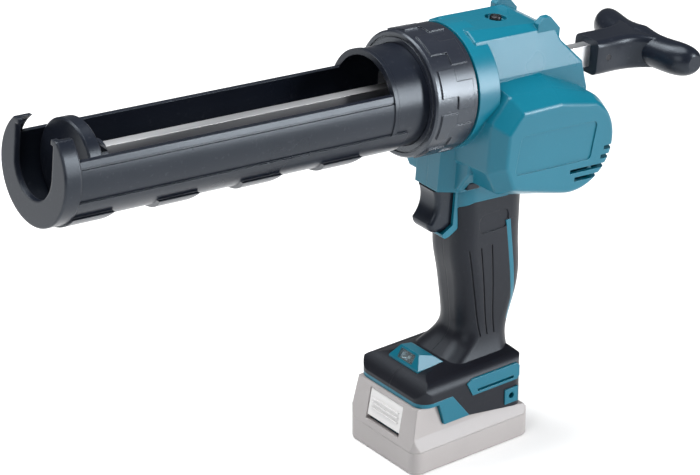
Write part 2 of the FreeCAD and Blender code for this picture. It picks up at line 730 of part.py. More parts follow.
def gear(teeth, module, y0, y1, axis, phase):
    """Straight involute gear with a tooth centred on the angle phase in the XZ plane."""
    pitch_r = module * teeth / 2
    base_r = pitch_r * math.cos(PRESSURE_ANGLE)
    tip_r = pitch_r + TOOTH_ADDENDUM_SHARE * module
    root_r = pitch_r - TOOTH_DEDENDUM_SHARE * module
    start_r = max(base_r, root_r)
    thick = (math.pi * module / 2 - BACKLASH) / (2 * pitch_r)

    def half_angle(radius):
        lean = math.acos(min(1, base_r / radius))
        return thick + math.tan(PRESSURE_ANGLE) - PRESSURE_ANGLE - (math.tan(lean) - lean)

    radii = [start_r + (tip_r - start_r) * k / FLANK_STEPS for k in range(FLANK_STEPS + 1)]
    flank = [(root_r, half_angle(start_r))] + [(r, half_angle(r)) for r in radii]
    points = []
    for k in range(teeth):
        centre = phase + 2 * math.pi * k / teeth
        sides = [(radius, centre - half) for radius, half in flank]
        sides += [(radius, centre + half) for radius, half in reversed(flank)]
        for radius, angle in sides:
            points.append((axis[0] + radius * math.cos(angle), axis[1] + radius * math.sin(angle)))
    return prism_y(points, y0, y1)


def meshing_phase(teeth_a, phase_a, teeth_b, line):
    """Phase of gear b that sets a gap against gear a's tooth, along the line of centres from a to b."""
    return line + math.pi + math.pi / teeth_b - (phase_a - line) * teeth_a / teeth_b


def centre_distance(stage):
    return TRAIN_MODULES[stage] * (SMALL_TEETH + WHEEL_TEETH[stage]) / 2


def second_axis():
    angle = math.radians(SECOND_GEAR_ANGLE_DEG)
    reach = centre_distance(2)
    return (PINION_X + reach * math.cos(angle), PINION_Z + reach * math.sin(angle))


def first_axis():
    """Upper crossing of the circles round the second gear's axis and the motor's axis."""
    sx, sz = second_axis()
    near, far = centre_distance(1), centre_distance(0)
    dx, dz = MOTOR_X - sx, MOTOR_Z - sz
    span = math.hypot(dx, dz)
    along = (near ** 2 - far ** 2 + span ** 2) / (2 * span)
    across = math.sqrt(near ** 2 - along ** 2)
    return (sx + (along * dx - across * dz) / span, sz + (along * dz + across * dx) / span)


FINAL_AXIS = (PINION_X, PINION_Z)
SECOND_AXIS = second_axis()
FIRST_AXIS = first_axis()
MOTOR_AXIS = (MOTOR_X, MOTOR_Z)
OUTER_PLATE_FAR_Y = OUTER_PLATE_Y + PLATE_THICK


def line_angle(a, b):
    return math.atan2(b[1] - a[1], b[0] - a[0])


def layer_y(k):
    return FINAL_WHEEL_Y + k * LAYER_PITCH


def stage_wheel(stage, from_axis, to_axis):
    """Wheel of one stage, in mesh with the small gear on from_axis."""
    phase = meshing_phase(SMALL_TEETH, 0, WHEEL_TEETH[stage], line_angle(from_axis, to_axis))
    y0 = layer_y(2 - stage)
    return gear(WHEEL_TEETH[stage], TRAIN_MODULES[stage], y0, y0 + WHEEL_WIDTH, to_axis, phase)


def motor_pinion():
    y0 = layer_y(2)
    small = gear(SMALL_TEETH, TRAIN_MODULES[0], y0, y0 + WHEEL_WIDTH, MOTOR_AXIS, 0)
    return small.cut(rod_y(-OVERRUN, OVERRUN, MOTOR_SHAFT_R, *MOTOR_AXIS))


def journals(axis, radius):
    return rod_y(INNER_PLATE_Y, OUTER_PLATE_FAR_Y, radius, *axis)


def first_gear():
    small = gear(SMALL_TEETH, TRAIN_MODULES[1], layer_y(1), layer_y(2), FIRST_AXIS, 0)
    return fused([stage_wheel(0, MOTOR_AXIS, FIRST_AXIS), small, journals(FIRST_AXIS, JOURNAL_R)])


def second_gear():
    small = gear(SMALL_TEETH, TRAIN_MODULES[2], layer_y(0), layer_y(1), SECOND_AXIS, 0)
    return fused([stage_wheel(1, FIRST_AXIS, SECOND_AXIS), small, journals(SECOND_AXIS, JOURNAL_R)])


def final_gear():
    wheel = stage_wheel(2, SECOND_AXIS, FINAL_AXIS)
    return wheel.cut(rod_y(-OVERRUN, OVERRUN, PINION_SHAFT_R + RUN_GAP, *FINAL_AXIS))


def rack_pinion():
    teeth = gear(PINION_TEETH, RACK_MODULE, -ROD_WIDTH / 2, ROD_WIDTH / 2, FINAL_AXIS, math.pi / 2)
    shaft = rod_y(PINION_BEARING_Y, layer_y(2), PINION_SHAFT_R, *FINAL_AXIS)
    return fused([teeth, shaft, rod_y(0, OUTER_PLATE_FAR_Y, JOURNAL_R, *FINAL_AXIS)])


def clutch_hub():
    y0 = FINAL_WHEEL_Y + WHEEL_WIDTH + FIT_GAP
    ring = rod_y(y0, y0 + CLUTCH_LEN, CLUTCH_R, *FINAL_AXIS)
    return ring.cut(rod_y(-OVERRUN, OVERRUN, PINION_SHAFT_R, *FINAL_AXIS))


def pinion_bearing():
    ring = rod_y(PINION_BEARING_Y, PINION_BEARING_Y + PINION_BEARING_LEN, PINION_BEARING_R, *FINAL_AXIS)
    return ring.cut(rod_y(-OVERRUN, OVERRUN, PINION_SHAFT_R + RUN_GAP, *FINAL_AXIS))


def on_body(shares):
    return [(x * BODY_LENGTH, z * BODY_TOP) for x, z in shares]


def gear_plate(y0, final_r):
    corners = on_body(PILLAR_SHARES[:2] + PLATE_EDGE_SHARES[:1] + PILLAR_SHARES[2:] + PLATE_EDGE_SHARES[1:])
    plate = prism_y(shifted(corners, -PLATE_RIM), y0, y0 + PLATE_THICK)
    holes = [rod_y(-OVERRUN, OVERRUN, JOURNAL_R + RUN_GAP, *axis) for axis in (FIRST_AXIS, SECOND_AXIS)]
    holes.append(rod_y(-OVERRUN, OVERRUN, final_r + RUN_GAP, *FINAL_AXIS))
    holes.append(rod_y(-OVERRUN, OVERRUN, MOTOR_SHAFT_R + FIT_GAP, *MOTOR_AXIS))
    for hole in holes:
        plate = plate.cut(hole)
    return plate


def gear_pillars():
    return Part.makeCompound([rod_y(INNER_PLATE_Y + PLATE_THICK, OUTER_PLATE_Y, PILLAR_R, x, z)
                              for x, z in on_body(PILLAR_SHARES)])


CAN_REAR_Y = INNER_PLATE_Y - CAN_LEN
FAN_Y = CAN_REAR_Y - BELL_LEN - FIT_GAP - FAN_LEN


def motor_can():
    can = rod_y(CAN_REAR_Y, INNER_PLATE_Y, CAN_R, *MOTOR_AXIS)
    can = can.cut(rod_y(CAN_REAR_Y - OVERRUN, INNER_PLATE_Y - CAN_WALL, CAN_R - CAN_WALL, *MOTOR_AXIS))
    return can.cut(rod_y(-OVERRUN, OVERRUN, MOTOR_SHAFT_R + RUN_GAP, *MOTOR_AXIS))


def motor_end_bell():
    bell = rod_y(CAN_REAR_Y - BELL_LEN, CAN_REAR_Y, CAN_R, *MOTOR_AXIS)
    return bell.cut(rod_y(-2 * OVERRUN, OVERRUN, MOTOR_SHAFT_R + RUN_GAP, *MOTOR_AXIS))


def motor_armature():
    middle = (CAN_REAR_Y + INNER_PLATE_Y) / 2
    core = rod_y(middle - ARMATURE_LEN / 2, middle + ARMATURE_LEN / 2, ARMATURE_R, *MOTOR_AXIS)
    shaft = rod_y(FAN_Y, layer_y(2) + WHEEL_WIDTH, MOTOR_SHAFT_R, *MOTOR_AXIS)
    return fused([core, shaft])


def cooling_fan():
    blades = [rod_y(FAN_Y, FAN_Y + FAN_LEN, FAN_HUB_R, *MOTOR_AXIS)]
    for k in range(FAN_BLADES):
        blade = box(0, FAN_R, FAN_Y, FAN_Y + FAN_LEN, -FAN_BLADE_THICK / 2, FAN_BLADE_THICK / 2)
        blade.rotate(V(0, 0, 0), V(0, 1, 0), 360 * k / FAN_BLADES)
        blade.translate(V(MOTOR_X, 0, MOTOR_Z))
        blades.append(blade)
    return fused(blades).cut(rod_y(-2 * OVERRUN, OVERRUN, MOTOR_SHAFT_R, *MOTOR_AXIS))


def guide_block():
    return box(GUIDE_X, GUIDE_X + GUIDE_LEN, -GUIDE_HALF, GUIDE_HALF,
               ROD_BOTTOM_Z - GUIDE_RIM, ROD_TOP_Z + GUIDE_RIM)


def rod_guide():
    return guide_block().cut(rod_hole(-OVERRUN, 2 * OVERRUN + BODY_LENGTH, FIT_GAP))


# Upper housing, barrel frame

def body_block(inset):
    """Faceted upper body: its side outline and its front outline drawn through each other."""
    side = shifted(on_body(BODY_SIDE_SHARES), inset)
    front = shifted([(y * BODY_HALF, z * BODY_TOP) for y, z in BODY_FRONT_SHARES], inset)
    across = prism_y(side, -2 * BODY_HALF, 2 * BODY_HALF)
    return across.common(prism_x(front, -OVERRUN, OVERRUN + BODY_LENGTH))


def throat_block(inset):
    front = THROAT_FRONT_X + inset
    plan = [(front, -THROAT_FRONT_HALF + inset), (THROAT_FLARE_X, -THROAT_HALF + inset),
            (THROAT_REAR_X - inset, -THROAT_HALF + inset), (THROAT_REAR_X - inset, THROAT_HALF - inset),
            (THROAT_FLARE_X, THROAT_HALF - inset), (front, THROAT_FRONT_HALF - inset)]
    return prism_z(plan, THROAT_LOW_Z + inset, THROAT_TOP_Z)


def bulge_wire(y, shares, radius, inset):
    front = BULGE_FRONT - inset
    height = BULGE_HEIGHT - inset
    points = [V(MOTOR_X - sx * front, y, MOTOR_Z + sz * height) for sx, sz in shares]
    reach = radius - inset
    arc = []
    for degrees in BULGE_ARC_DEG:
        angle = math.radians(degrees)
        arc.append(V(MOTOR_X + reach * math.cos(angle), y, MOTOR_Z + reach * math.sin(angle)))
    corners = points + [arc[0]]
    edges = [Part.makeLine(corners[k], corners[k + 1]) for k in range(len(points))]
    edges.append(Part.Arc(*arc).toShape())
    edges.append(Part.makeLine(arc[2], points[0]))
    return Part.Wire(edges)


def bulge_block(inset):
    radii = [share * BULGE_R for share in BULGE_RADIUS_SHARES]
    wires = [bulge_wire(BULGE_ROOT_Y, BULGE_ROOT_SHARES, radii[0], inset),
             bulge_wire(BULGE_SHOULDER_Y + inset / 2, BULGE_SHOULDER_SHARES, radii[1], inset),
             bulge_wire(BULGE_FACE_Y + inset, BULGE_FACE_SHARES, radii[2], inset)]
    return Part.makeLoft(wires, True, True)


def ears():
    """Two upright fins at the rear of the top."""
    rear = EAR_FRONT_X + EAR_LEN
    outline = [(EAR_FRONT_X, EAR_TOP_Z - EAR_DEPTH), (EAR_FRONT_X, BODY_TOP - EAR_SINK),
               (EAR_FRONT_X + EAR_LEN / 2, EAR_TOP_Z), (rear, EAR_TOP_Z),
               (rear + EAR_RAMP, EAR_TOP_Z - EAR_RAMP), (rear + EAR_RAMP, EAR_TOP_Z - EAR_DEPTH)]
    fin = prism_y(outline, EAR_OUT_Y - EAR_THICK, EAR_OUT_Y)
    return [fin, mirrored(fin)]


def name_panel():
    """Shallow bare recess on the bulge's side face."""
    low = PANEL_TOP_Z - PANEL_HEIGHT
    rear = PANEL_FRONT_X + PANEL_LEN
    cutter = prism_y([(PANEL_FRONT_X, PANEL_TOP_Z), (PANEL_FRONT_X - PANEL_SLANT, low),
                      (rear - PANEL_SLANT, low), (rear, PANEL_TOP_Z)],
                     BULGE_FACE_Y - OVERRUN, BULGE_FACE_Y + PANEL_DEPTH)
    upright = [e for e in cutter.Edges if e.BoundBox.YLength > OVERRUN]
    return cutter.makeFillet(PANEL_ROUND, upright)


def vents():
    slots = []
    for k, length in enumerate(VENT_LENGTHS):
        z = VENT_TOP_Z - k * VENT_PITCH
        slots.append(box(VENT_REAR_X - length, VENT_REAR_X + OVERRUN, BULGE_FACE_Y - OVERRUN,
                         BULGE_SHOULDER_Y + WALL, z - VENT_HEIGHT, z))
    return slots


def guard_zone():
    """Region where the housing, not the soft skin, forms the outside of the handle's top."""
    points = [(x * THROAT_REAR_X, z * THROAT_LOW_Z) for x, z in GUARD_SHARES]
    return prism_y(points, -OVERRUN, OVERRUN)


# Handle and foot, part frame

def handle_loft(inset):
    wires = []
    step = (HANDLE_TOP_Z - HANDLE_BOTTOM_Z) / (len(HANDLE_X_SHARES) - 1)
    for k, x_share in enumerate(HANDLE_X_SHARES):
        wires.append(rounded_wire(HANDLE_X * x_share,
                                  HANDLE_HALF_DEPTH * HANDLE_DEPTH_SHARES[k] - inset,
                                  HANDLE_HALF_WIDTH * HANDLE_WIDTH_SHARES[k] - inset,
                                  HANDLE_ROUND - inset, HANDLE_BOTTOM_Z + k * step))
    return Part.makeLoft(wires, True)


def foot_underside():
    """Lower edge of the foot from front to rear, which the pack's top follows."""
    return [(FOOT_FRONT_X, FOOT_LIP_Z), (FOOT_TAB_FRONT_X, FOOT_LIP_Z), (FOOT_TAB_X, FOOT_TAB_Z),
            (FOOT_TAB_REAR_X, FOOT_TAB_Z), (FOOT_REAR_X, FOOT_REAR_LOW_Z)]


def foot_topside():
    """Upper edge of the foot from rear to front: round the hip, along the roof, round the brow."""
    return [(FOOT_REAR_X, FOOT_BACK_Z), (FOOT_HIP_X, FOOT_HIP_Z), (FOOT_SHOULDER_X, FOOT_SHOULDER_Z),
            (FOOT_ROOF_X, FOOT_ROOF_Z), (FOOT_BROW_X, FOOT_BROW_Z), (FOOT_FRONT_X, FOOT_NOSE_Z)]


def foot_plan(inset, z0, z1):
    middle = (FOOT_FRONT_X + FOOT_REAR_X) / 2
    return rounded_block(middle, (FOOT_REAR_X - FOOT_FRONT_X) / 2 - inset, FOOT_HALF - inset,
                         FOOT_CORNER_R - inset, z0, z1)


def foot_crown(inset):
    """Arched cross-section with rounded shoulders, drawn along the foot."""
    start = FOOT_FRONT_X - OVERRUN
    half = FOOT_HALF - inset
    arch_y = FOOT_HALF - FOOT_RIM
    arch_z = FOOT_CREST_Z - FOOT_CROWN_R + math.sqrt((FOOT_CROWN_R - inset) ** 2 - arch_y ** 2)
    lean_share = math.sqrt(0.5)
    lean_y = arch_y + lean_share * (half - arch_y)
    lean_z = FOOT_RIM_Z + lean_share * (arch_z - FOOT_RIM_Z)
    right = [V(start, y, z) for y, z in ((half, FOOT_RIM_Z), (lean_y, lean_z), (arch_y, arch_z))]
    left = [V(start, -v.y, v.z) for v in reversed(right)]
    top = V(start, 0, FOOT_CREST_Z - inset)
    low_right, low_left = V(start, half, 0), V(start, -half, 0)
    arcs = [Part.Arc(*ends).toShape() for ends in (right, (right[2], top, left[0]), left)]
    ends = [left[2], low_left, low_right, right[0]]
    edges = arcs + [Part.makeLine(a, b) for a, b in zip(ends, ends[1:])]
    return Part.Face(Part.Wire(edges)).extrude(V(FOOT_REAR_X - FOOT_FRONT_X + 2 * OVERRUN, 0, 0))


def foot_block(inset):
    """Foot from its side outline, plan and crown; inset moves the top and the sides, not the underside."""
    under = foot_underside()
    top = shifted(under + foot_topside(), inset)[len(under):]
    fall_share = (top[0][0] - FOOT_TAB_REAR_X) / (FOOT_REAR_X - FOOT_TAB_REAR_X)
    under[0] = (top[-1][0], FOOT_LIP_Z)
    under[-1] = (top[0][0], FOOT_TAB_Z + fall_share * (FOOT_REAR_LOW_Z - FOOT_TAB_Z))
    low = [V(x, -2 * FOOT_HALF, z) for x, z in under]
    back, hip, shoulder, roof, brow, nose = [V(x, -2 * FOOT_HALF, z) for x, z in top]
    edges = [Part.makeLine(a, b) for a, b in zip(low, low[1:] + [back])]
    edges += [Part.Arc(back, hip, shoulder).toShape(), Part.makeLine(shoulder, roof),
              Part.Arc(roof, brow, nose).toShape(), Part.makeLine(nose, low[0])]
    side = Part.Face(Part.Wire(edges)).extrude(V(0, 4 * FOOT_HALF, 0))
    return side.common(foot_plan(inset, 0, HANDLE_TOP_Z)).common(foot_crown(inset))


def lip_zone():
    """Region round the foot's front where the housing, not the soft skin, is the outside."""
    top = FOOT_LIP_Z + FOOT_LIP_THICK
    points = [(-2 * OVERRUN, 0), (FOOT_TAB_REAR_X, 0), (FOOT_TAB_REAR_X, FOOT_TAB_Z),
              (FOOT_TAB_HEAD_X, top), (-2 * OVERRUN, top)]
    return prism_y(points, -OVERRUN, OVERRUN)


def handle_band(ahead, behind):
    """Upright band across the rear of the handle, between two offsets from the strip's line."""
    line = [(STRIP_LOW_X, STRIP_LOW_Z), (STRIP_MIDDLE_X, STRIP_MIDDLE_Z), (STRIP_TOP_X, STRIP_TOP_Z)]
    points = [(x + ahead, z) for x, z in line] + [(x + behind, z) for x, z in reversed(line)]
    return prism_y(points, -OVERRUN, OVERRUN)


def rear_strips():
    """Housing strips that show between the side grips and the spine."""
    return handle_band(0, STRIP_WIDTH)


def spine_zone():
    return handle_band(STRIP_WIDTH, OVERRUN)


BAY_HALF = TONGUE_HALF + TONGUE_RAIL + FIT_GAP
BAY_TOP_Z = TONGUE_RAIL_Z + FIT_GAP
BOARD_FLOOR_Z = BAY_TOP_Z + BAY_LIFT


def battery_bay():
    """Slot under the foot that the pack's tongue slides into from the front."""
    rear = TONGUE_REAR_X + FIT_GAP
    neck = TONGUE_HALF + FIT_GAP
    lower = box(FOOT_FRONT_X - OVERRUN, rear, -neck, neck, 0, BAY_TOP_Z)
    upper = box(FOOT_FRONT_X - OVERRUN, rear, -BAY_HALF, BAY_HALF, TONGUE_NECK_Z - FIT_GAP, BAY_TOP_Z)
    return fused([lower, upper])


def foot_cavity():
    room = box(FOOT_BROW_X + SKIN, TONGUE_REAR_X, -FOOT_HALF, FOOT_HALF, BOARD_FLOOR_Z, HANDLE_TOP_Z)
    return foot_block(SKIN + WALL).common(room)


def trigger_port():
    half = TRIGGER_HALF + FIT_GAP
    return box(-2 * OVERRUN, TRIGGER_REAR_X + TRIGGER_TRAVEL + FIT_GAP, -half, half,
               TRIGGER_LOW_Z - FIT_GAP, TRIGGER_TOP_Z + FIT_GAP)


def lock_port():
    return box(LOCK_X - FIT_GAP, LOCK_X + LOCK_LEN + FIT_GAP, -OVERRUN, OVERRUN,
               LOCK_LOW_Z - FIT_GAP, LOCK_LOW_Z + LOCK_HEIGHT + FIT_GAP)


SWITCH_X = TRIGGER_REAR_X + TRIGGER_TRAVEL + 2 * FIT_GAP


def switch_ribs():
    """Ribs on the handle's walls that hold the switch."""
    ribs = []
    middle = (TRIGGER_TOP_Z + TRIGGER_LOW_Z) / 2
    for side in SIDES:
        y0, y1 = sorted((side * SWITCH_HALF, side * (HANDLE_HALF_WIDTH - SKIN - WALL / 2)))
        ribs.append(box(SWITCH_X, SWITCH_X + SWITCH_LEN, y0, y1, middle - RIB_THICK, middle + RIB_THICK))
    return ribs


def trigger_switch():
    middle = (TRIGGER_TOP_Z + TRIGGER_LOW_Z) / 2
    return box(SWITCH_X, SWITCH_X + SWITCH_LEN, -SWITCH_HALF, SWITCH_HALF,
               middle - SWITCH_HEIGHT / 2, middle + SWITCH_HEIGHT / 2)


def housing_cavity():
    """Everything hollow inside the two housing shells, barrel frame."""
    spaces = [body_block(WALL), throat_block(WALL), bulge_block(WALL),
              off_barrel(handle_loft(SKIN + WALL)), off_barrel(foot_cavity())]
    spaces.append(rod_x(-OVERRUN, NOSE_BORE_LEN, SPIGOT_R + RUN_GAP))
    return spaces[0].multiFuse(spaces[1:])


def inner_ribs(cavity):
    """Walls inside the left shell that hold the motor and the pinion's bearing, and the rod guide's seat."""
    ribs = []
    for y in CRADLE_Y:
        slab = box(MOTOR_X - BULGE_R, BODY_LENGTH + OVERRUN, y, y + CRADLE_THICK, -2 * OVERRUN, 0)
        ribs.append(slab.cut(rod_y(-2 * OVERRUN, OVERRUN, CAN_R + RUN_GAP, *MOTOR_AXIS)))
    rib = box(NOSE_BORE_LEN, MOTOR_X - CAN_R - FIT_GAP, PINION_BEARING_Y, PINION_BEARING_Y + RIB_THICK,
              THROAT_LOW_Z, ROD_BOTTOM_Z - RIB_RISE)
    ribs.append(rib.cut(rod_y(-OVERRUN, OVERRUN, PINION_BEARING_R + RUN_GAP, *FINAL_AXIS)))
    seat = box(GUIDE_X, GUIDE_X + GUIDE_LEN, -GUIDE_HALF - GUIDE_SEAT, GUIDE_HALF + GUIDE_SEAT,
               MOTOR_Z + CAN_R + FIT_GAP, OVERRUN)
    ribs.append(seat)
    return [rib.common(cavity) for rib in ribs] + switch_ribs()


def screw_places():
    places = on_body(BODY_SCREWS_SHARES)
    x = HANDLE_X * HANDLE_X_SHARES[4]
    z = HANDLE_BOTTOM_Z + HANDLE_SCREW_HEIGHT_SHARE * (HANDLE_TOP_Z - HANDLE_BOTTOM_Z)
    spot = off_barrel(Part.Vertex(V(x, 0, z))).Point
    return places + [(spot.x, spot.z)]


def across_at(place, outer):
    """Lowest and highest y of the outside at a screw's place."""
    probe = Part.makeLine(V(place[0], 2 * BULGE_FACE_Y, place[1]), V(place[0], 2 * BODY_HALF, place[1]))
    span = outer.common(probe).BoundBox
    return span.YMin, span.YMax


def housing_screw(place, seat):
    head = rod_y(seat - SCREW_HEAD_LEN, seat, SCREW_HEAD_R, *place)
    return fused([head, rod_y(seat - SCREW_HEAD_LEN - SCREW_LEN, seat, SCREW_R, *place)])


def screw_hole(place, seat):
    head = rod_y(seat - SCREW_HEAD_LEN, seat + OVERRUN, SCREW_HEAD_R + FIT_GAP, *place)
    return fused([head, rod_y(seat - SCREW_HEAD_LEN - SCREW_LEN - FIT_GAP, seat, SCREW_R + RUN_GAP, *place)])


def shroud_block():
    """Housing round the trigger's root, with a lip under the trigger."""
    points = [(x * SHROUD_REAR_X, z * THROAT_LOW_Z) for x, z in SHROUD_SHARES]
    return prism_y(points, -SHROUD_HALF, SHROUD_HALF)


def housing_outer():
    nose = rod_x(0, NOSE_LEN, NOSE_R)
    body = body_block(0)
    body = body.makeFillet(BODY_ROUND, body.Edges)
    bulge = bulge_block(0)
    outside = [e for e in bulge.Edges if e.BoundBox.YMax < BULGE_SHOULDER_Y + FIT_GAP]
    bulge = bulge.makeFillet(BULGE_ROUND, outside)
    upper = fused([body, nose, throat_block(0), bulge] + ears())
    handle = handle_loft(0)
    strips = handle.common(rear_strips())
    lip = foot_block(0).common(lip_zone())
    core = fused([handle_loft(SKIN), foot_block(SKIN), strips, lip])
    guard = off_barrel(handle).common(guard_zone())
    return fused([upper, off_barrel(core), guard, shroud_block()])


def top_screw_dish():
    top = BODY_TOP
    dish = rod_z(top - 2 * TOP_SCREW_DISH, top + OVERRUN, TOP_SCREW_DISH_R, TOP_SCREW_X, 0)
    hole = rod_z(top - 2 * TOP_SCREW_DISH - TOP_SCREW_LEN, top, SCREW_R + RUN_GAP, TOP_SCREW_X, 0)
    return fused([dish, hole])


def top_screw_post():
    top = BODY_TOP
    return rod_z(top - 2 * TOP_SCREW_DISH - TOP_SCREW_LEN - WALL, top - TOP_SCREW_DISH,
                 TOP_SCREW_DISH_R + WALL, TOP_SCREW_X, 0)


def top_screw():
    seat = BODY_TOP - 2 * TOP_SCREW_DISH
    head = rod_z(seat, seat + SCREW_HEAD_LEN, TOP_SCREW_HEAD_R, TOP_SCREW_X, 0)
    return fused([head, rod_z(seat - TOP_SCREW_LEN, seat, SCREW_R, TOP_SCREW_X, 0)])


def hook_plate_block():
    """Long plate with a slanting front end on the left side of the foot, part frame."""
    rear = HOOK_FRONT_X + HOOK_LEN
    top = HOOK_LOW_Z + HOOK_HEIGHT
    slant_x = HOOK_FRONT_X + HOOK_POINT
    outline = [(HOOK_FRONT_X, top - HOOK_CORNER), (slant_x, HOOK_LOW_Z), (rear - HOOK_CORNER, HOOK_LOW_Z),
               (rear, HOOK_LOW_Z + HOOK_CORNER), (rear, top - HOOK_CORNER), (rear - HOOK_CORNER, top),
               (slant_x, top)]
    return prism_y(outline, -FOOT_HALF - HOOK_PROUD, -FOOT_HALF + SKIN)


def hook_plate():
    rear = HOOK_FRONT_X + HOOK_LEN - HOOK_SLOT_REAR
    low = HOOK_LOW_Z + HOOK_SLOT_RISE
    slot = box(rear - HOOK_SLOT_LEN, rear, -FOOT_HALF - OVERRUN, 0, low, low + HOOK_SLOT_HEIGHT)
    return hook_plate_block().cut(slot)


def nut_block():
    return box(NUT_X - NUT_HALF, NUT_X + NUT_HALF, -FOOT_HALF - NUT_PROUD, -FOOT_HALF - NUT_PROUD + NUT_DEPTH,
               NUT_Z - NUT_HALF, NUT_Z + NUT_HALF)


def hook_nut():
    hole = rod_y(-FOOT_HALF - NUT_PROUD, -FOOT_HALF - NUT_PROUD + NUT_HOLE_LEN, NUT_HOLE_R, NUT_X, NUT_Z)
    return nut_block().cut(hole)


# Lamp on the foot, part frame

def lamp_block():
    """Lamp body reaching down into the foot: a side outline drawn through a front with leaning sides."""
    side = [(LAMP_FRONT_X, LAMP_FLOOR_Z), (LAMP_FRONT_X, LAMP_CHIN_Z), (LAMP_BROW_X, LAMP_BROW_Z),
            (LAMP_CROWN_X, LAMP_CROWN_Z), (LAMP_REAR_X, LAMP_HEEL_Z), (LAMP_REAR_X, LAMP_FLOOR_Z)]
    front = [(-LAMP_HALF, LAMP_FLOOR_Z), (LAMP_HALF, LAMP_FLOOR_Z), (LAMP_HALF, LAMP_CHIN_Z),
             (LAMP_TOP_HALF, LAMP_BROW_Z), (-LAMP_TOP_HALF, LAMP_BROW_Z), (-LAMP_HALF, LAMP_CHIN_Z)]
    return prism_y(side, -LAMP_HALF, LAMP_HALF).common(prism_x(front, LAMP_FRONT_X, LAMP_REAR_X))


def lens_outline():
    """Sloping window between the lamp's brow and chin, drawn inwards by the lens thickness."""
    run_x, run_z = LAMP_BROW_X - LAMP_FRONT_X, LAMP_BROW_Z - LAMP_CHIN_Z
    length = math.hypot(run_x, run_z)
    ux, uz = run_x / length, run_z / length
    a = (LAMP_FRONT_X + LENS_EDGE * ux, LAMP_CHIN_Z + LENS_EDGE * uz)
    b = (LAMP_BROW_X - LENS_EDGE * ux, LAMP_BROW_Z - LENS_EDGE * uz)
    return [a, b] + [(x + LENS_THICK * uz, z - LENS_THICK * ux) for x, z in (b, a)]


def lamp_lens():
    return prism_y(lens_outline(), -LENS_HALF, LENS_HALF)


def behind_lens(near, far):
    """Block behind the window between two depths, a little narrower than the window."""
    lens_front_low, lens_front_top, top, low = lens_outline()
    ux = (top[0] - lens_front_top[0]) / LENS_THICK
    uz = (top[1] - lens_front_top[1]) / LENS_THICK
    points = [(low[0] + near * ux, low[1] + near * uz), (top[0] + near * ux, top[1] + near * uz),
              (top[0] + far * ux, top[1] + far * uz), (low[0] + far * ux, low[1] + far * uz)]
    return prism_y(points, -LENS_HALF + LENS_EDGE, LENS_HALF - LENS_EDGE)


def lamp_board():
    return behind_lens(LAMP_CAVITY_DEPTH - LAMP_BOARD_THICK, LAMP_CAVITY_DEPTH)


def lamp_housing():
    block = lamp_block().cut(foot_block(SKIN)).cut(handle_loft(0))
    return block.cut(lamp_lens()).cut(behind_lens(0, LAMP_CAVITY_DEPTH))


# Shells, grips

def housing_shells():
    outer = housing_outer()
    cavity = housing_cavity()
    places = screw_places()
    spans = [across_at(place, outer) for place in places]
    seats = [high - SCREW_SINK for low, high in spans]
    bosses = [rod_y(low + WALL / 2, high, BOSS_R, *place) for place, (low, high) in zip(places, spans)]
    shell = outer.cut(cavity)
    inside = [b.common(outer) for b in bosses] + inner_ribs(cavity) + [top_screw_post().common(outer)]
    shell = shell.multiFuse(inside)
    cuts = [screw_hole(place, seat) for place, seat in zip(places, seats)]
    cuts += [top_screw_dish(), trigger_port(), lock_port(), name_panel(), off_barrel(battery_bay())]
    cuts += vents()
    cuts.append(rod_hole(GUIDE_X, OVERRUN + BODY_LENGTH, ROD_PORT_GAP))
    cuts.append(guide_block())
    cuts.append(rod_x(-OVERRUN, 0, COLLAR_R + COLLAR_PAD_PROUD + 2 * FIT_GAP))
    cuts += [off_barrel(slot) for slot in blade_slots()]
    nuts = nut_block()
    cuts += [off_barrel(nuts), off_barrel(mirrored(nuts))]
    for cutter in cuts:
        shell = shell.cut(cutter)
    halves = [shell.common(half_space(side)).removeSplitter() for side in SIDES]
    screws = Part.makeCompound([housing_screw(place, seat) for place, seat in zip(places, seats)])
    return halves[0], halves[1], screws


def side_details():
    """Shallow grooves that draw together downwards and a thumb rest, on both grips, part frame."""
    half = GROOVE_WIDTH / 2
    outlines = []
    for k in range(GROOVE_COUNT):
        top = GROOVE_TOP_X + k * GROOVE_TOP_PITCH
        low = GROOVE_LOW_X + k * GROOVE_LOW_PITCH
        outlines.append(prism_y([(low - half, GROOVE_LOW_Z), (low + half, GROOVE_LOW_Z),
                                 (top + half, GROOVE_TOP_Z), (top - half, GROOVE_TOP_Z)], -OVERRUN, OVERRUN))
    rest = box(HANDLE_X - THUMB_LEN / 2, HANDLE_X + THUMB_LEN / 2, -OVERRUN, OVERRUN,
               THUMB_Z - THUMB_HEIGHT / 2, THUMB_Z + THUMB_HEIGHT / 2)
    upright = [e for e in rest.Edges if e.BoundBox.YLength > OVERRUN]
    outlines.append(rest.makeFillet(THUMB_ROUND, upright))
    layer = handle_loft(0).cut(handle_loft(GROOVE_DEPTH))
    return [layer.common(outline) for outline in outlines]


def soft_skins():
    """Left grip, right grip and rear spine, part frame."""
    foot = foot_block(0).cut(foot_block(SKIN)).cut(lip_zone())
    handle = handle_loft(0).cut(handle_loft(SKIN))
    handle = handle.cut(on_barrel(guard_zone())).cut(rear_strips())
    skin = handle.cut(foot_block(SKIN)).fuse(foot.cut(handle_loft(SKIN)))
    cutters = [lamp_block(), on_barrel(trigger_port()), on_barrel(shroud_block())] + side_details()
    for piece in (hook_plate_block(), nut_block()):
        cutters += [piece, mirrored(piece)]
    for cutter in cutters:
        skin = skin.cut(cutter)
    spine = skin.common(spine_zone())
    skin = skin.cut(spine_zone())
    halves = [skin.common(half_space(side)) for side in SIDES]
    return halves[0], halves[1], spine


# Trigger and lock button, barrel frame

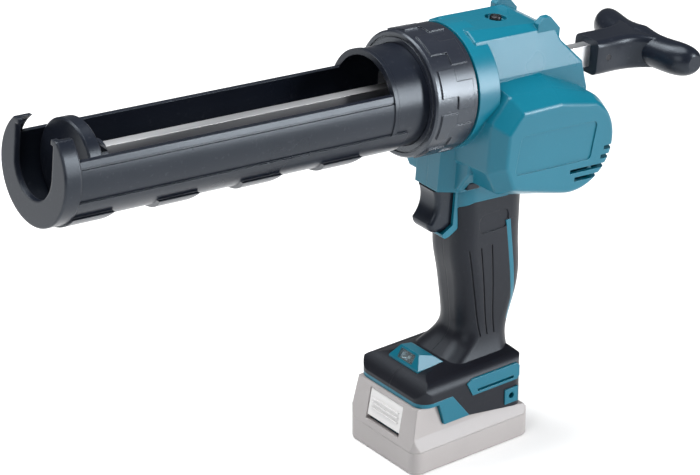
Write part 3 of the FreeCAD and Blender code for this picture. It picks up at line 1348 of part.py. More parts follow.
def trigger():
    """Hollowed front, rounded toe and flat sole, drawn out across the handle."""
    places = ((TRIGGER_REAR_X, TRIGGER_TOP_Z), (TRIGGER_FRONT_X, TRIGGER_TOP_Z),
              (TRIGGER_WAIST_X, TRIGGER_WAIST_Z), (TRIGGER_TOE_X, TRIGGER_TOE_Z),
              (TRIGGER_SOLE_X, TRIGGER_SOLE_Z), (TRIGGER_HEEL_X, TRIGGER_LOW_Z),
              (TRIGGER_REAR_X, TRIGGER_LOW_Z))
    rear_top, front, waist, toe, sole, heel, rear_low = [V(x, -TRIGGER_HALF, z) for x, z in places]
    edges = [Part.makeLine(rear_top, front), Part.Arc(front, waist, toe).toShape(),
             Part.Arc(toe, sole, heel).toShape(), Part.makeLine(heel, rear_low),
             Part.makeLine(rear_low, rear_top)]
    solid = Part.Face(Part.Wire(edges)).extrude(V(0, 2 * TRIGGER_HALF, 0))
    ahead = [e for e in solid.Edges if e.BoundBox.XMax < TRIGGER_HEEL_X + FIT_GAP]
    return solid.makeFillet(TRIGGER_ROUND, [e for e in ahead if e.BoundBox.YLength < FIT_GAP])


def lock_button():
    half = THROAT_HALF + LOCK_PROUD
    bar = box(LOCK_X, LOCK_X + LOCK_LEN, -half, half, LOCK_LOW_Z, LOCK_LOW_Z + LOCK_HEIGHT)
    ends = [e for e in bar.Edges if e.BoundBox.YLength < FIT_GAP]
    return bar.makeFillet(LOCK_ROUND, ends)


# Electronics in the foot, part frame

def control_board():
    top = BOARD_FLOOR_Z + BOARD_THICK
    board = box(BOARD_X, BOARD_X + BOARD_LEN, -BOARD_HALF, BOARD_HALF, BOARD_FLOOR_Z, top)
    coils = [rod_z(BOARD_FLOOR_Z, top + COIL_HEIGHT, COIL_R, BOARD_X + BOARD_LEN / 2, side * BOARD_HALF / 2)
             for side in SIDES]
    return fused([board] + coils)


def blade_places():
    return [(k - (BLADE_COUNT - 1) / 2) * BLADE_PITCH for k in range(BLADE_COUNT)]


def blade_slots():
    return [box(BLADE_X - FIT_GAP, BLADE_X + BLADE_LEN + FIT_GAP, y - BLADE_THICK, y + BLADE_THICK,
                BAY_TOP_Z - FIT_GAP, BOARD_FLOOR_Z) for y in blade_places()]


def terminal_block():
    block = box(BLADE_X, BLADE_X + TERMINAL_LEN, -TERMINAL_HALF, TERMINAL_HALF,
                BOARD_FLOOR_Z, BOARD_FLOOR_Z + TERMINAL_HEIGHT)
    blades = [box(BLADE_X, BLADE_X + BLADE_LEN, y - BLADE_THICK / 2, y + BLADE_THICK / 2,
                  BAY_TOP_Z - BLADE_DROP, BOARD_FLOOR_Z) for y in blade_places()]
    return fused([block] + blades)


# Battery pack, part frame

def pack_outline():
    """Side outline of the pack's cover, a fit gap under the foot's edge."""
    under = [(x, z - FIT_GAP) for x, z in foot_underside()]
    front_top = (PACK_TOWER_X, FOOT_LIP_Z - FIT_GAP)
    shelf = (FOOT_TAB_FRONT_X - FIT_GAP, FOOT_LIP_Z - FIT_GAP)
    step = (FOOT_TAB_X - FIT_GAP, FOOT_TAB_Z - FIT_GAP)
    return [(-PACK_HALF_LEN, PACK_SPLIT_Z), front_top, shelf, step, under[3], under[4],
            (PACK_HALF_LEN, PACK_SPLIT_Z)]


def pack_inside(inset, z0):
    return rounded_block(0, PACK_HALF_LEN - inset, PACK_HALF_WIDTH - inset, PACK_CORNER_R - inset,
                         z0, PACK_SPLIT_Z)


def pack_case():
    tub = rounded_block(0, PACK_HALF_LEN, PACK_HALF_WIDTH, PACK_CORNER_R, 0, PACK_SPLIT_Z)
    rim = [e for e in tub.Edges if e.BoundBox.ZMax < FIT_GAP]
    tub = tub.makeFillet(PACK_ROUND, rim)
    tub = tub.cut(pack_inside(PACK_WALL, PACK_WALL))
    posts = [rod_z(PACK_WALL / 2, PACK_SPLIT_Z, BOSS_R, x, y) for x, y in pack_screw_places()]
    tub = tub.multiFuse([post.common(pack_inside(PACK_WALL / 2, 0)) for post in posts])
    for x, y in pack_screw_places():
        tub = tub.cut(rod_z(0, SCREW_HEAD_LEN + SCREW_SINK, SCREW_HEAD_R + FIT_GAP, x, y))
        tub = tub.cut(rod_z(0, PACK_SPLIT_Z, SCREW_R + RUN_GAP, x, y))
    return tub


def pack_screw_places():
    return [(sx * PACK_SCREW_X, sy * PACK_SCREW_Y) for sx in SIDES for sy in SIDES]


def pack_screws():
    screws = []
    for x, y in pack_screw_places():
        seat = SCREW_HEAD_LEN + SCREW_SINK
        head = rod_z(SCREW_SINK, seat, SCREW_HEAD_R, x, y)
        screws.append(fused([head, rod_z(seat, seat + PACK_SCREW_LEN, SCREW_R, x, y)]))
    return Part.makeCompound(screws)


def cover_section():
    return [(PACK_HALF_WIDTH, PACK_SPLIT_Z), (PACK_BEVEL_HALF, PACK_BEVEL_Z), (PACK_TOP_HALF, FOOT_LIP_Z),
            (-PACK_TOP_HALF, FOOT_LIP_Z), (-PACK_BEVEL_HALF, PACK_BEVEL_Z), (-PACK_HALF_WIDTH, PACK_SPLIT_Z)]


def pack_tongue():
    front = FOOT_TAB_FRONT_X - FIT_GAP
    neck = box(front, TONGUE_REAR_X, -TONGUE_HALF, TONGUE_HALF, PACK_SPLIT_Z, TONGUE_RAIL_Z)
    rails = box(front, TONGUE_REAR_X, -TONGUE_HALF - TONGUE_RAIL, TONGUE_HALF + TONGUE_RAIL,
                TONGUE_NECK_Z, TONGUE_RAIL_Z)
    tongue = fused([neck, rails])
    for y in blade_places():
        tongue = tongue.cut(box(BLADE_X - FIT_GAP, TONGUE_REAR_X, y - BLADE_THICK, y + BLADE_THICK,
                                BAY_TOP_Z - BLADE_DROP - 2 * FIT_GAP, BAY_TOP_Z))
    return tongue


def front_slope():
    """Unit vector up the pack's sloping front, in x and z."""
    run = (PACK_TOWER_X + PACK_HALF_LEN, FOOT_LIP_Z - FIT_GAP - PACK_SPLIT_Z)
    length = math.hypot(*run)
    return run[0] / length, run[1] / length


def slope_point(z, depth):
    """Point at height z on the sloping front, moved inwards by depth."""
    ux, uz = front_slope()
    x = -PACK_HALF_LEN + (z - PACK_SPLIT_Z) * ux / uz
    return x + depth * uz, z - depth * ux


def button_prism(low, top, near, far, half):
    corners = ((low, near), (top, near), (top, far), (low, far))
    return prism_y([slope_point(z, depth) for z, depth in corners], -half, half)


def pack_cover():
    cover = prism_y(pack_outline(), -2 * PACK_HALF_WIDTH, 2 * PACK_HALF_WIDTH)
    cover = cover.common(prism_x(cover_section(), -2 * PACK_HALF_LEN, 2 * PACK_HALF_LEN))
    cover = cover.common(rounded_block(0, PACK_HALF_LEN, PACK_HALF_WIDTH, PACK_CORNER_R, 0, HANDLE_TOP_Z))
    cover = cover.fuse(pack_tongue())
    roof = PACK_WALL + 2 * CELL_R + FIT_GAP
    room = CELL_R + FIT_GAP
    last_x = CELL_FRONT_X + CELL_PITCH * (CELL_COUNT - 1)
    cover = cover.cut(box(CELL_FRONT_X - room, last_x + room,
                          -CELL_LEN / 2 - FIT_GAP, CELL_LEN / 2 + FIT_GAP, 0, roof))
    recess = button_prism(BUTTON_LOW_Z - BUTTON_TRAVEL - FIT_GAP, BUTTON_TOP_Z + FIT_GAP, -OVERRUN,
                          BUTTON_SINK + BUTTON_THICK + FIT_GAP, BUTTON_HALF + FIT_GAP)
    cover = cover.cut(recess)
    screw_top = SCREW_SINK + SCREW_HEAD_LEN + PACK_SCREW_LEN + FIT_GAP
    for x, y in pack_screw_places():
        cover = cover.cut(rod_z(0, screw_top, SCREW_R + RUN_GAP, x, y))
    return cover


def pack_cells():
    cells = [rod_y(-CELL_LEN / 2, CELL_LEN / 2, CELL_R, CELL_FRONT_X + CELL_PITCH * k, PACK_WALL + CELL_R)
             for k in range(CELL_COUNT)]
    return Part.makeCompound(cells)


def pack_button():
    plate = button_prism(BUTTON_LOW_Z, BUTTON_TOP_Z, BUTTON_SINK, BUTTON_SINK + BUTTON_THICK, BUTTON_HALF)
    middle = (BUTTON_LOW_Z + BUTTON_TOP_Z) / 2
    ridges = []
    for k in range(RIDGE_COUNT):
        z = middle + (k - (RIDGE_COUNT - 1) / 2) * RIDGE_PITCH
        ridges.append(button_prism(z - RIDGE_HEIGHT / 2, z + RIDGE_HEIGHT / 2, BUTTON_SINK - RIDGE_HEIGHT,
                                   BUTTON_SINK + RIDGE_HEIGHT, BUTTON_HALF - RIDGE_PITCH))
    return fused([plate] + ridges)


# Every node, and its STEP file

def all_nodes():
    left, right, screws = housing_shells()
    grip_left, grip_right, spine = soft_skins()
    plate, nut = hook_plate(), hook_nut()
    barrel = {
        "holder_tube": holder_tube(), "front_cap": front_cap(), "lock_collar": lock_collar(),
        "front_bracket": front_bracket(), "push_rod": push_rod(), "piston": piston(),
        "piston_screw": piston_screw(), "pull_handle": pull_handle(), "pull_handle_pin": pull_handle_pin(),
        "housing_left": left, "housing_right": right, "housing_screws": screws, "top_screw": top_screw(),
        "trigger": trigger(), "trigger_switch": trigger_switch(), "lock_button": lock_button(),
        "motor_can": motor_can(), "motor_end_bell": motor_end_bell(), "motor_armature": motor_armature(),
        "motor_pinion": motor_pinion(), "cooling_fan": cooling_fan(), "first_gear": first_gear(),
        "second_gear": second_gear(), "final_gear": final_gear(), "rack_pinion": rack_pinion(),
        "clutch_hub": clutch_hub(), "pinion_bearing": pinion_bearing(),
        "gear_plate_inner": gear_plate(INNER_PLATE_Y, PINION_SHAFT_R),
        "gear_plate_outer": gear_plate(OUTER_PLATE_Y, JOURNAL_R),
        "gear_pillars": gear_pillars(), "rod_guide": rod_guide(),
    }
    nodes = {name: on_barrel(shape) for name, shape in barrel.items()}
    nodes.update({
        "grip_left": grip_left, "grip_right": grip_right, "grip_spine": spine,
        "hook_plate_left": plate, "hook_plate_right": mirrored(plate),
        "hook_nut_left": nut, "hook_nut_right": mirrored(nut),
        "lamp_housing": lamp_housing(), "lamp_lens": lamp_lens(), "lamp_board": lamp_board(),
        "control_board": control_board(), "terminal_block": terminal_block(),
        "battery_case": pack_case(), "battery_cover": pack_cover(), "battery_cells": pack_cells(),
        "battery_screws": pack_screws(), "battery_button": pack_button(),
    })
    return nodes


os.makedirs("parts", exist_ok=True)
for node, shape in all_nodes().items():
    shape.exportStep("parts/" + node + ".step")
    print(node, len(shape.Solids), round(shape.Volume))
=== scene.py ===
# %% [markdown]
# # A cordless caulking tool, dressed for the studio
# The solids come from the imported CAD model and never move. This lesson gives each of them a finish, adds
# the small surfaces that CAD leaves plain, and sets up a camera and soft light. All lengths are metres.

# %% Load the frame
import json

import bpy
import numpy as np
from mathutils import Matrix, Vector


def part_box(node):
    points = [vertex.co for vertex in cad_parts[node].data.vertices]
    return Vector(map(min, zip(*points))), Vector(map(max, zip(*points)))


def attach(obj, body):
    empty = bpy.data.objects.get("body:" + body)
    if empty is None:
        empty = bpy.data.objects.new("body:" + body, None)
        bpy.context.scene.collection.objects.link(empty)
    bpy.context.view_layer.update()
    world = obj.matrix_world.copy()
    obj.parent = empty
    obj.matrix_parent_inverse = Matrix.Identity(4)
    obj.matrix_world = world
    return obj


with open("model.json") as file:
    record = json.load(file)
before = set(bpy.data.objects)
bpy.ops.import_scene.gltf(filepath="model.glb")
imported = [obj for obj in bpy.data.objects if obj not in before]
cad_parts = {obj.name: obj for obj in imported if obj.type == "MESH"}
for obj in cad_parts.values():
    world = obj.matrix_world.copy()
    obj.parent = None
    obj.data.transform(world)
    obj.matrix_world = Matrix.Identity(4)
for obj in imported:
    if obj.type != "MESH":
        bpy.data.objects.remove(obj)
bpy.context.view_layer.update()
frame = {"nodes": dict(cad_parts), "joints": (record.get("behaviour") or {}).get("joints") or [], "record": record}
nodes = frame["nodes"]

# %% [markdown]
# The barrel sits nose-up on the handle. The push rod's joint axis is the barrel's own axis, so it gives
# the tilt, and two cross products give the other directions. Reading them from the frame, not typing
# them, keeps the added pieces square to the solids if the tilt is changed.

# %% The barrel's directions
rod_axis = np.array(next(j["axis"] for j in frame["joints"] if j["name"] == "rod_slide"))
right_axis = np.array((0.0, 1.0, 0.0))
up_axis = np.cross(rod_axis, right_axis)
print("rod axis", rod_axis.round(4), "up", up_axis.round(4))

# %% [markdown]
# The photograph was taken with a long lens from the front left and above. The camera's place was worked
# out from the barrel's straight edges, the collar's circle and the pack's corners, and it looks at a point
# near the middle of the tool.

# %% Camera
CAMERA_PLACE = (-1.198674, -1.486674, 1.094787)
CAMERA_TARGET = (-0.06807, 0.0, 0.15472)
CAMERA_LENS = 185.14
SENSOR_WIDTH = 36.0


def aim(item, place, target):
    """Put a camera or lamp at place, looking along its own -Z at target."""
    item.location = place
    item.rotation_euler = (Vector(target) - Vector(place)).to_track_quat("-Z", "Y").to_euler()
    bpy.context.scene.collection.objects.link(item)


camera_data = bpy.data.cameras.new("camera")
camera_data.lens = CAMERA_LENS
camera_data.sensor_width = SENSOR_WIDTH
camera_data.sensor_fit = "HORIZONTAL"
camera = bpy.data.objects.new("camera", camera_data)
aim(camera, CAMERA_PLACE, CAMERA_TARGET)
bpy.context.scene.camera = camera
print("camera at", CAMERA_PLACE)

# %% [markdown]
# A catalogue photograph like this one is lit from above and from the front, over a white sheet, with
# nothing bright behind. Upright faces then mirror the white sheet and look hazy, while the top mirrors the
# dark room and keeps its full colour. So the surround is dim for everything but the camera, which sees a
# pale backdrop where a low view looks past the sheet, and soft panels do the work. The tall panel
# on the right is the one that shows as a sheen on the collar's pads and on the shell's upper side, and a
# high panel at the back only keeps the sheet white there. The sheet fades out for the camera where its
# light ends, so that a low view has no hard horizon.

# %% Floor, surround and lights
FLOOR_SIZE = 3.2
FLOOR_COLOUR = (0.95, 0.95, 0.95, 1.0)
FLOOR_ROUGHNESS = 0.9
FLOOR_FADE = (0.75, 1.25)
WORLD_COLOUR = (0.93, 0.97, 1.0, 1.0)
WORLD_STRENGTH = 0.14
BACKDROP_COLOUR = (0.90, 0.91, 0.92, 1.0)
PANELS = {
    "overhead": ((-0.1, 0.05, 1.7), (0.0, 0.0, 0.15), (1.2, 1.2), 31.0),
    "left_panel": ((-1.7, -1.0, 1.0), (-0.1, 0.0, 0.2), (1.1, 1.1), 10.0),
    "tall_panel": ((1.25, -1.75, 0.75), (0.0, 0.0, 0.2), (0.35, 1.4), 50.0),
    "floor_wash": ((-0.9, 1.1, 2.2), (-0.9, 0.9, 0.0), (1.6, 1.2), 44.0),
}

floor_half = FLOOR_SIZE / 2
floor_mesh = bpy.data.meshes.new("floor")
floor_mesh.from_pydata([(-floor_half, -floor_half, 0), (floor_half, -floor_half, 0),
                        (floor_half, floor_half, 0), (-floor_half, floor_half, 0)], [], [(0, 1, 2, 3)])
floor = bpy.data.objects.new("floor", floor_mesh)
bpy.context.scene.collection.objects.link(floor)
floor_paint = bpy.data.materials.new("floor_paint")
floor_paint.use_nodes = True
floor_shader = floor_paint.node_tree.nodes["Principled BSDF"]
floor_shader.inputs["Base Color"].default_value = FLOOR_COLOUR
floor_shader.inputs["Roughness"].default_value = FLOOR_ROUGHNESS
sheet = floor_paint.node_tree
reach = sheet.nodes.new("ShaderNodeVectorMath")
reach.operation = "LENGTH"
sheet.links.new(sheet.nodes.new("ShaderNodeNewGeometry").outputs["Position"], reach.inputs[0])
fade = sheet.nodes.new("ShaderNodeMapRange")
fade.interpolation_type = "SMOOTHSTEP"
fade.inputs["From Min"].default_value, fade.inputs["From Max"].default_value = FLOOR_FADE
sheet.links.new(reach.outputs["Value"], fade.inputs["Value"])
in_view = sheet.nodes.new("ShaderNodeMath")
in_view.operation = "MULTIPLY"
sheet.links.new(fade.outputs["Result"], in_view.inputs[0])
sheet.links.new(sheet.nodes.new("ShaderNodeLightPath").outputs["Is Camera Ray"], in_view.inputs[1])
faded = sheet.nodes.new("ShaderNodeMixShader")
sheet.links.new(in_view.outputs["Value"], faded.inputs["Fac"])
sheet.links.new(floor_shader.outputs["BSDF"], faded.inputs[1])
sheet.links.new(sheet.nodes.new("ShaderNodeBsdfTransparent").outputs["BSDF"], faded.inputs[2])
sheet.links.new(faded.outputs["Shader"], sheet.nodes["Material Output"].inputs["Surface"])
floor.data.materials.append(floor_paint)

world = bpy.data.worlds.new("surround")
world.use_nodes = True
air = world.node_tree
room = air.nodes["Background"]
room.inputs["Color"].default_value = WORLD_COLOUR
room.inputs["Strength"].default_value = WORLD_STRENGTH
backdrop = air.nodes.new("ShaderNodeBackground")
backdrop.inputs["Color"].default_value = BACKDROP_COLOUR
seen = air.nodes.new("ShaderNodeMixShader")
air.links.new(air.nodes.new("ShaderNodeLightPath").outputs["Is Camera Ray"], seen.inputs["Fac"])
air.links.new(room.outputs["Background"], seen.inputs[1])
air.links.new(backdrop.outputs["Background"], seen.inputs[2])
air.links.new(seen.outputs["Shader"], air.nodes["World Output"].inputs["Surface"])
bpy.context.scene.world = world

for panel_name, (place, target, (width, height), power) in PANELS.items():
    panel_data = bpy.data.lights.new(panel_name, "AREA")
    panel_data.shape = "RECTANGLE"
    panel_data.size = width
    panel_data.size_y = height
    panel_data.energy = power
    aim(bpy.data.objects.new(panel_name, panel_data), place, target)
bpy.context.scene.view_settings.view_transform = "Standard"
print("panels:", ", ".join(PANELS))

# %% [markdown]
# Effects that several finishes share are shader groups with named inputs and outputs. The first is the
# grain of a moulded surface: a mould is spark-eroded, which leaves a fine even roughness, and the plastic's
# tone drifts slightly over a hand's width. The group puts out the grain as a height, the drift as a mask,
# and sparse specks, which on a handled tool are dust and small scuffs.

# %% Shader group: moulded grain


def new_group(name, inputs, outputs):
    """Empty shader group with float inputs {name: default} and outputs {name: socket type}."""
    group = bpy.data.node_groups.new(name, "ShaderNodeTree")
    for label, default in inputs.items():
        socket = group.interface.new_socket(label, in_out="INPUT", socket_type="NodeSocketFloat")
        socket.default_value = default
    for label, kind in outputs.items():
        group.interface.new_socket(label, in_out="OUTPUT", socket_type=kind)
    return group, group.nodes.new("NodeGroupInput"), group.nodes.new("NodeGroupOutput")


def remap(tree, source, from_low, from_high, low, high):
    """Map Range node: from_low..from_high becomes low..high, held at both ends."""
    node = tree.nodes.new("ShaderNodeMapRange")
    node.inputs["From Min"].default_value = from_low
    node.inputs["From Max"].default_value = from_high
    node.inputs["To Min"].default_value = low
    node.inputs["To Max"].default_value = high
    tree.links.new(source, node.inputs["Value"])
    return node.outputs["Result"]


NOISE_DETAIL = {"Grain Scale": 3.0, "Drift Scale": 2.0, "Speck Scale": 1.0}
SPECK_FROM, SPECK_FULL = 0.66, 0.76


def grain_group():
    """Three noises on Object coordinates: fine for the height, slow for the drift, sparse for the specks."""
    group, inside, outside = new_group(
        "moulded_grain", {"Grain Scale": 1400.0, "Drift Scale": 18.0, "Speck Scale": 420.0},
        {"Height": "NodeSocketFloat", "Drift": "NodeSocketFloat", "Specks": "NodeSocketFloat"})
    place = group.nodes.new("ShaderNodeTexCoord")
    noises = {}
    for label, detail in NOISE_DETAIL.items():
        noises[label] = group.nodes.new("ShaderNodeTexNoise")
        noises[label].inputs["Detail"].default_value = detail
        group.links.new(place.outputs["Object"], noises[label].inputs["Vector"])
        group.links.new(inside.outputs[label], noises[label].inputs["Scale"])
    specks = remap(group, noises["Speck Scale"].outputs["Fac"], SPECK_FROM, SPECK_FULL, 0.0, 1.0)
    group.links.new(noises["Grain Scale"].outputs["Fac"], outside.inputs["Height"])
    group.links.new(noises["Drift Scale"].outputs["Fac"], outside.inputs["Drift"])
    group.links.new(specks, outside.inputs["Specks"])
    return group


GRAIN = grain_group()
print("group:", GRAIN.name)

# %% [markdown]
# Real moulded edges are never knife-sharp: they are rounded by half a millimetre and rubbed pale by hands
# and pockets. Rounding thousands of CAD edges as geometry would be heavy. The Bevel node instead bends the
# shading normal near an edge, and the angle between that normal and the true one tells where the edges are.
# The pale colour that the finishes lay on this mask is partly rubbed wear and partly a painted highlight.

# %% Shader group: rubbed edges and painted edge highlight
PATCH_SCALE = 160.0
PATCH_LOW, PATCH_HIGH, LEAST_WEAR_AND_HIGHLIGHT = 0.35, 0.65, 0.35
EDGE_COS_FROM, EDGE_COS_FULL = 0.99, 0.90
BEVEL_SAMPLES = 4


def edge_group():
    """Rounded normal near edges, and a mask from 1 - cos(angle to the true normal), broken up by noise."""
    group, inside, outside = new_group("rubbed_and_highlit_edges", {"Edge Radius": 0.0007},
                                       {"Normal": "NodeSocketVector", "Mask": "NodeSocketFloat"})
    rounded = group.nodes.new("ShaderNodeBevel")
    rounded.samples = BEVEL_SAMPLES
    group.links.new(inside.outputs["Edge Radius"], rounded.inputs["Radius"])
    true = group.nodes.new("ShaderNodeNewGeometry")
    agree = group.nodes.new("ShaderNodeVectorMath")
    agree.operation = "DOT_PRODUCT"
    group.links.new(rounded.outputs["Normal"], agree.inputs[0])
    group.links.new(true.outputs["Normal"], agree.inputs[1])
    place = group.nodes.new("ShaderNodeTexCoord")
    patches = group.nodes.new("ShaderNodeTexNoise")
    patches.inputs["Scale"].default_value = PATCH_SCALE
    group.links.new(place.outputs["Object"], patches.inputs["Vector"])
    edge = remap(group, agree.outputs["Value"], EDGE_COS_FROM, EDGE_COS_FULL, 0.0, 1.0)
    # the noise breaks up the pale edge band, which is rubbed wear and painted highlight
    wear_and_highlight = remap(group, patches.outputs["Fac"], PATCH_LOW, PATCH_HIGH, LEAST_WEAR_AND_HIGHLIGHT, 1.0)
    broken = group.nodes.new("ShaderNodeMath")
    broken.operation = "MULTIPLY"
    group.links.new(edge, broken.inputs[0])
    group.links.new(wear_and_highlight, broken.inputs[1])
    group.links.new(rounded.outputs["Normal"], outside.inputs["Normal"])
    group.links.new(broken.outputs[0], outside.inputs["Mask"])
    return group


EDGES = edge_group()
print("group:", EDGES.name)

# %% [markdown]
# The steel bar and the cast alloy are finished along their length, so their reflections are drawn out. A
# noise whose X is squeezed gives long streaks. It serves the metal parts as a height and as a mask.

# %% Shader group: brushed lines
BROAD_SCALE = 60.0
LINE_DETAIL = 4.0


def brush_group():
    """Noise with X multiplied by a small stretch, so that it runs in lines along X."""
    group, inside, outside = new_group("brush_lines", {"Line Scale": 900.0, "Stretch": 0.02},
                                       {"Height": "NodeSocketFloat", "Mask": "NodeSocketFloat"})
    place = group.nodes.new("ShaderNodeTexCoord")
    parts = group.nodes.new("ShaderNodeSeparateXYZ")
    squeeze = group.nodes.new("ShaderNodeMath")
    squeeze.operation = "MULTIPLY"
    joined = group.nodes.new("ShaderNodeCombineXYZ")
    lines = group.nodes.new("ShaderNodeTexNoise")
    lines.inputs["Detail"].default_value = LINE_DETAIL
    broad = group.nodes.new("ShaderNodeTexNoise")
    broad.inputs["Scale"].default_value = BROAD_SCALE
    link = group.links.new
    link(place.outputs["Object"], parts.inputs["Vector"])
    link(parts.outputs["X"], squeeze.inputs[0])
    link(inside.outputs["Stretch"], squeeze.inputs[1])
    link(squeeze.outputs[0], joined.inputs["X"])
    link(parts.outputs["Y"], joined.inputs["Y"])
    link(parts.outputs["Z"], joined.inputs["Z"])
    link(joined.outputs["Vector"], lines.inputs["Vector"])
    link(inside.outputs["Line Scale"], lines.inputs["Scale"])
    link(joined.outputs["Vector"], broad.inputs["Vector"])
    link(lines.outputs["Fac"], outside.inputs["Height"])
    link(broad.outputs["Fac"], outside.inputs["Mask"])
    return group


BRUSH = brush_group()
print("group:", BRUSH.name)

# %% [markdown]
# One function makes every moulded finish: a base tone that drifts between two close colours and turns
# paler on edges and specks, a roughness that follows the same drift, and a bump from the grain on top of
# the rounded normals. The paler edges are partly rubbed wear and partly painted highlight; the specks are
# dust and scuffs. Only the values differ between the satin shell and the soft skin. The collar is turned by
# hand, which polishes it, so it gets a black with more sheen than the trough's. The front cap's rims are
# rounder than other edges and catch the light, and their wider pale band is painted highlight as well.

# %% Moulded plastic and rubber


def new_paint(name):
    """New node material; returns it with its node tree and its Principled shader."""
    paint = bpy.data.materials.new(name)
    paint.use_nodes = True
    return paint, paint.node_tree, paint.node_tree.nodes["Principled BSDF"]


def place_group(tree, group, values):
    """A shader group in a material, with its own input values."""
    node = tree.nodes.new("ShaderNodeGroup")
    node.node_tree = group
    for label, value in values.items():
        node.inputs[label].default_value = value
    return node


DRIFT_LOW, DRIFT_HIGH = 0.15, 0.85


def tone(tree, source, dark, light):
    """Colour ramp between two close tones, wide enough that the noise never reaches its flat ends."""
    ramp = tree.nodes.new("ShaderNodeValToRGB")
    ramp.color_ramp.elements[0].position = DRIFT_LOW
    ramp.color_ramp.elements[1].position = DRIFT_HIGH
    ramp.color_ramp.elements[0].color = (*dark, 1.0)
    ramp.color_ramp.elements[1].color = (*light, 1.0)
    tree.links.new(source, ramp.inputs["Fac"])
    return ramp.outputs["Color"]


def over(tree, mask, base, colour, most):
    """Lay a colour over base by a mask, at most by the share most."""
    mix = tree.nodes.new("ShaderNodeMix")
    mix.data_type = "RGBA"
    mix.inputs["B"].default_value = (*colour, 1.0)
    tree.links.new(remap(tree, mask, 0.0, 1.0, 0.0, most), mix.inputs["Factor"])
    tree.links.new(base, mix.inputs["A"])
    return mix.outputs["Result"]


def bumped(tree, shader, height, distance, strength, normal):
    """Bump from a height, on top of another normal."""
    bump = tree.nodes.new("ShaderNodeBump")
    bump.inputs["Strength"].default_value = strength
    bump.inputs["Distance"].default_value = distance
    tree.links.new(height, bump.inputs["Height"])
    tree.links.new(normal, bump.inputs["Normal"])
    tree.links.new(bump.outputs["Normal"], shader.inputs["Normal"])


SHEEN_TINT = (0.80, 0.90, 1.0, 1.0)
EDGE_WEAR_AND_HIGHLIGHT = 0.35
ROUGH_DRIFT = 0.06
GRAIN_STRENGTH = 0.35


def moulded(name, dark, light, wear_and_highlight, rough, grain_scale, grain_depth, specular=0.5, edge=0.0007, specks=0.05):
    """Moulded plastic or rubber with drifting tone, edges paler by rubbed wear and painted highlight, specks and
    fine grain.
    """
    paint, tree, shader = new_paint(name)
    grain = place_group(tree, GRAIN, {"Grain Scale": grain_scale})
    edges = place_group(tree, EDGES, {"Edge Radius": edge})
    colour = tone(tree, grain.outputs["Drift"], dark, light)
    # painted highlight and rubbed wear: the edge mask lays the paler colour on every edge
    colour = over(tree, edges.outputs["Mask"], colour, wear_and_highlight, EDGE_WEAR_AND_HIGHLIGHT)
    colour = over(tree, grain.outputs["Specks"], colour, wear_and_highlight, specks)
    tree.links.new(colour, shader.inputs["Base Color"])
    tree.links.new(remap(tree, grain.outputs["Drift"], DRIFT_LOW, DRIFT_HIGH,
                         rough - ROUGH_DRIFT, rough + ROUGH_DRIFT), shader.inputs["Roughness"])
    shader.inputs["Specular IOR Level"].default_value = specular
    shader.inputs["Specular Tint"].default_value = SHEEN_TINT
    bumped(tree, shader, grain.outputs["Height"], grain_depth, GRAIN_STRENGTH, edges.outputs["Normal"])
    return paint


# the third colour of each finish goes on its edges as rubbed wear and painted highlight, and on its specks as dust
FINISHES = {
    "teal_shell": moulded("teal_shell_finish", (0.001, 0.106, 0.160), (0.002, 0.126, 0.188),
                          (0.03, 0.26, 0.35), rough=0.30, grain_scale=1600.0, grain_depth=0.00005,
                          specular=0.45, edge=0.0006),
    "black_plastic": moulded("black_plastic_finish", (0.005, 0.007, 0.012), (0.010, 0.012, 0.019),
                             (0.08, 0.085, 0.10), rough=0.30, grain_scale=1300.0, grain_depth=0.00009,
                             specular=0.34, edge=0.0006, specks=0.12),
    "soft_black": moulded("soft_black_finish", (0.005, 0.005, 0.008), (0.009, 0.009, 0.013),
                          (0.04, 0.04, 0.045), rough=0.42, grain_scale=2200.0, grain_depth=0.0001,
                          specular=0.28, specks=0.12),
    "pale_plastic": moulded("pale_plastic_finish", (0.33, 0.308, 0.303), (0.375, 0.352, 0.347),
                            (0.52, 0.50, 0.49), rough=0.42, grain_scale=1500.0, grain_depth=0.00005,
                            edge=0.0012),
    "white_plastic": moulded("white_plastic_finish", (0.64, 0.63, 0.625), (0.70, 0.69, 0.685),
                             (0.80, 0.79, 0.78), rough=0.42, grain_scale=1500.0, grain_depth=0.00004),
    "board_green": moulded("board_finish", (0.012, 0.10, 0.04), (0.02, 0.14, 0.06), (0.10, 0.25, 0.14),
                           rough=0.38, grain_scale=900.0, grain_depth=0.00003),
    "cell_wrap": moulded("cell_wrap_finish", (0.03, 0.10, 0.20), (0.05, 0.14, 0.26), (0.16, 0.28, 0.42),
                         rough=0.30, grain_scale=600.0, grain_depth=0.00002),
}
SATIN_BLACK = moulded("satin_black_finish", (0.008, 0.010, 0.016), (0.014, 0.016, 0.024),
                      (0.12, 0.125, 0.14), rough=0.27, grain_scale=1300.0, grain_depth=0.00009,
                      specular=0.70, edge=0.0006, specks=0.15)
# front cap: the wide edge radius rounds the rims' shading and also widens their pale band, a painted highlight as
# well as rubbing
ROUND_RIM_BLACK = moulded("round_rim_black_finish", (0.005, 0.007, 0.012), (0.010, 0.012, 0.019),
                          (0.10, 0.105, 0.12), rough=0.30, grain_scale=1300.0, grain_depth=0.00009,
                          specular=0.36, edge=0.0016, specks=0.12)
print("moulded finishes:", ", ".join(FINISHES), SATIN_BLACK.name, ROUND_RIM_BLACK.name)

# %% [markdown]
# Metals have no colour of their own besides their reflection, so the streaks go into the roughness and the
# bump. The blackened finish is for the screws and the cross pin, which on the real tool are oil-blacked
# steel, and it is the same function with a dark reflection. The reflector is the lamp's dish and board.

# %% Metals
METAL_EDGE = 0.0003
LINE_DEPTH, LINE_STRENGTH = 0.00004, 0.25
SMOOTHER, ROUGHER = 0.10, 0.12


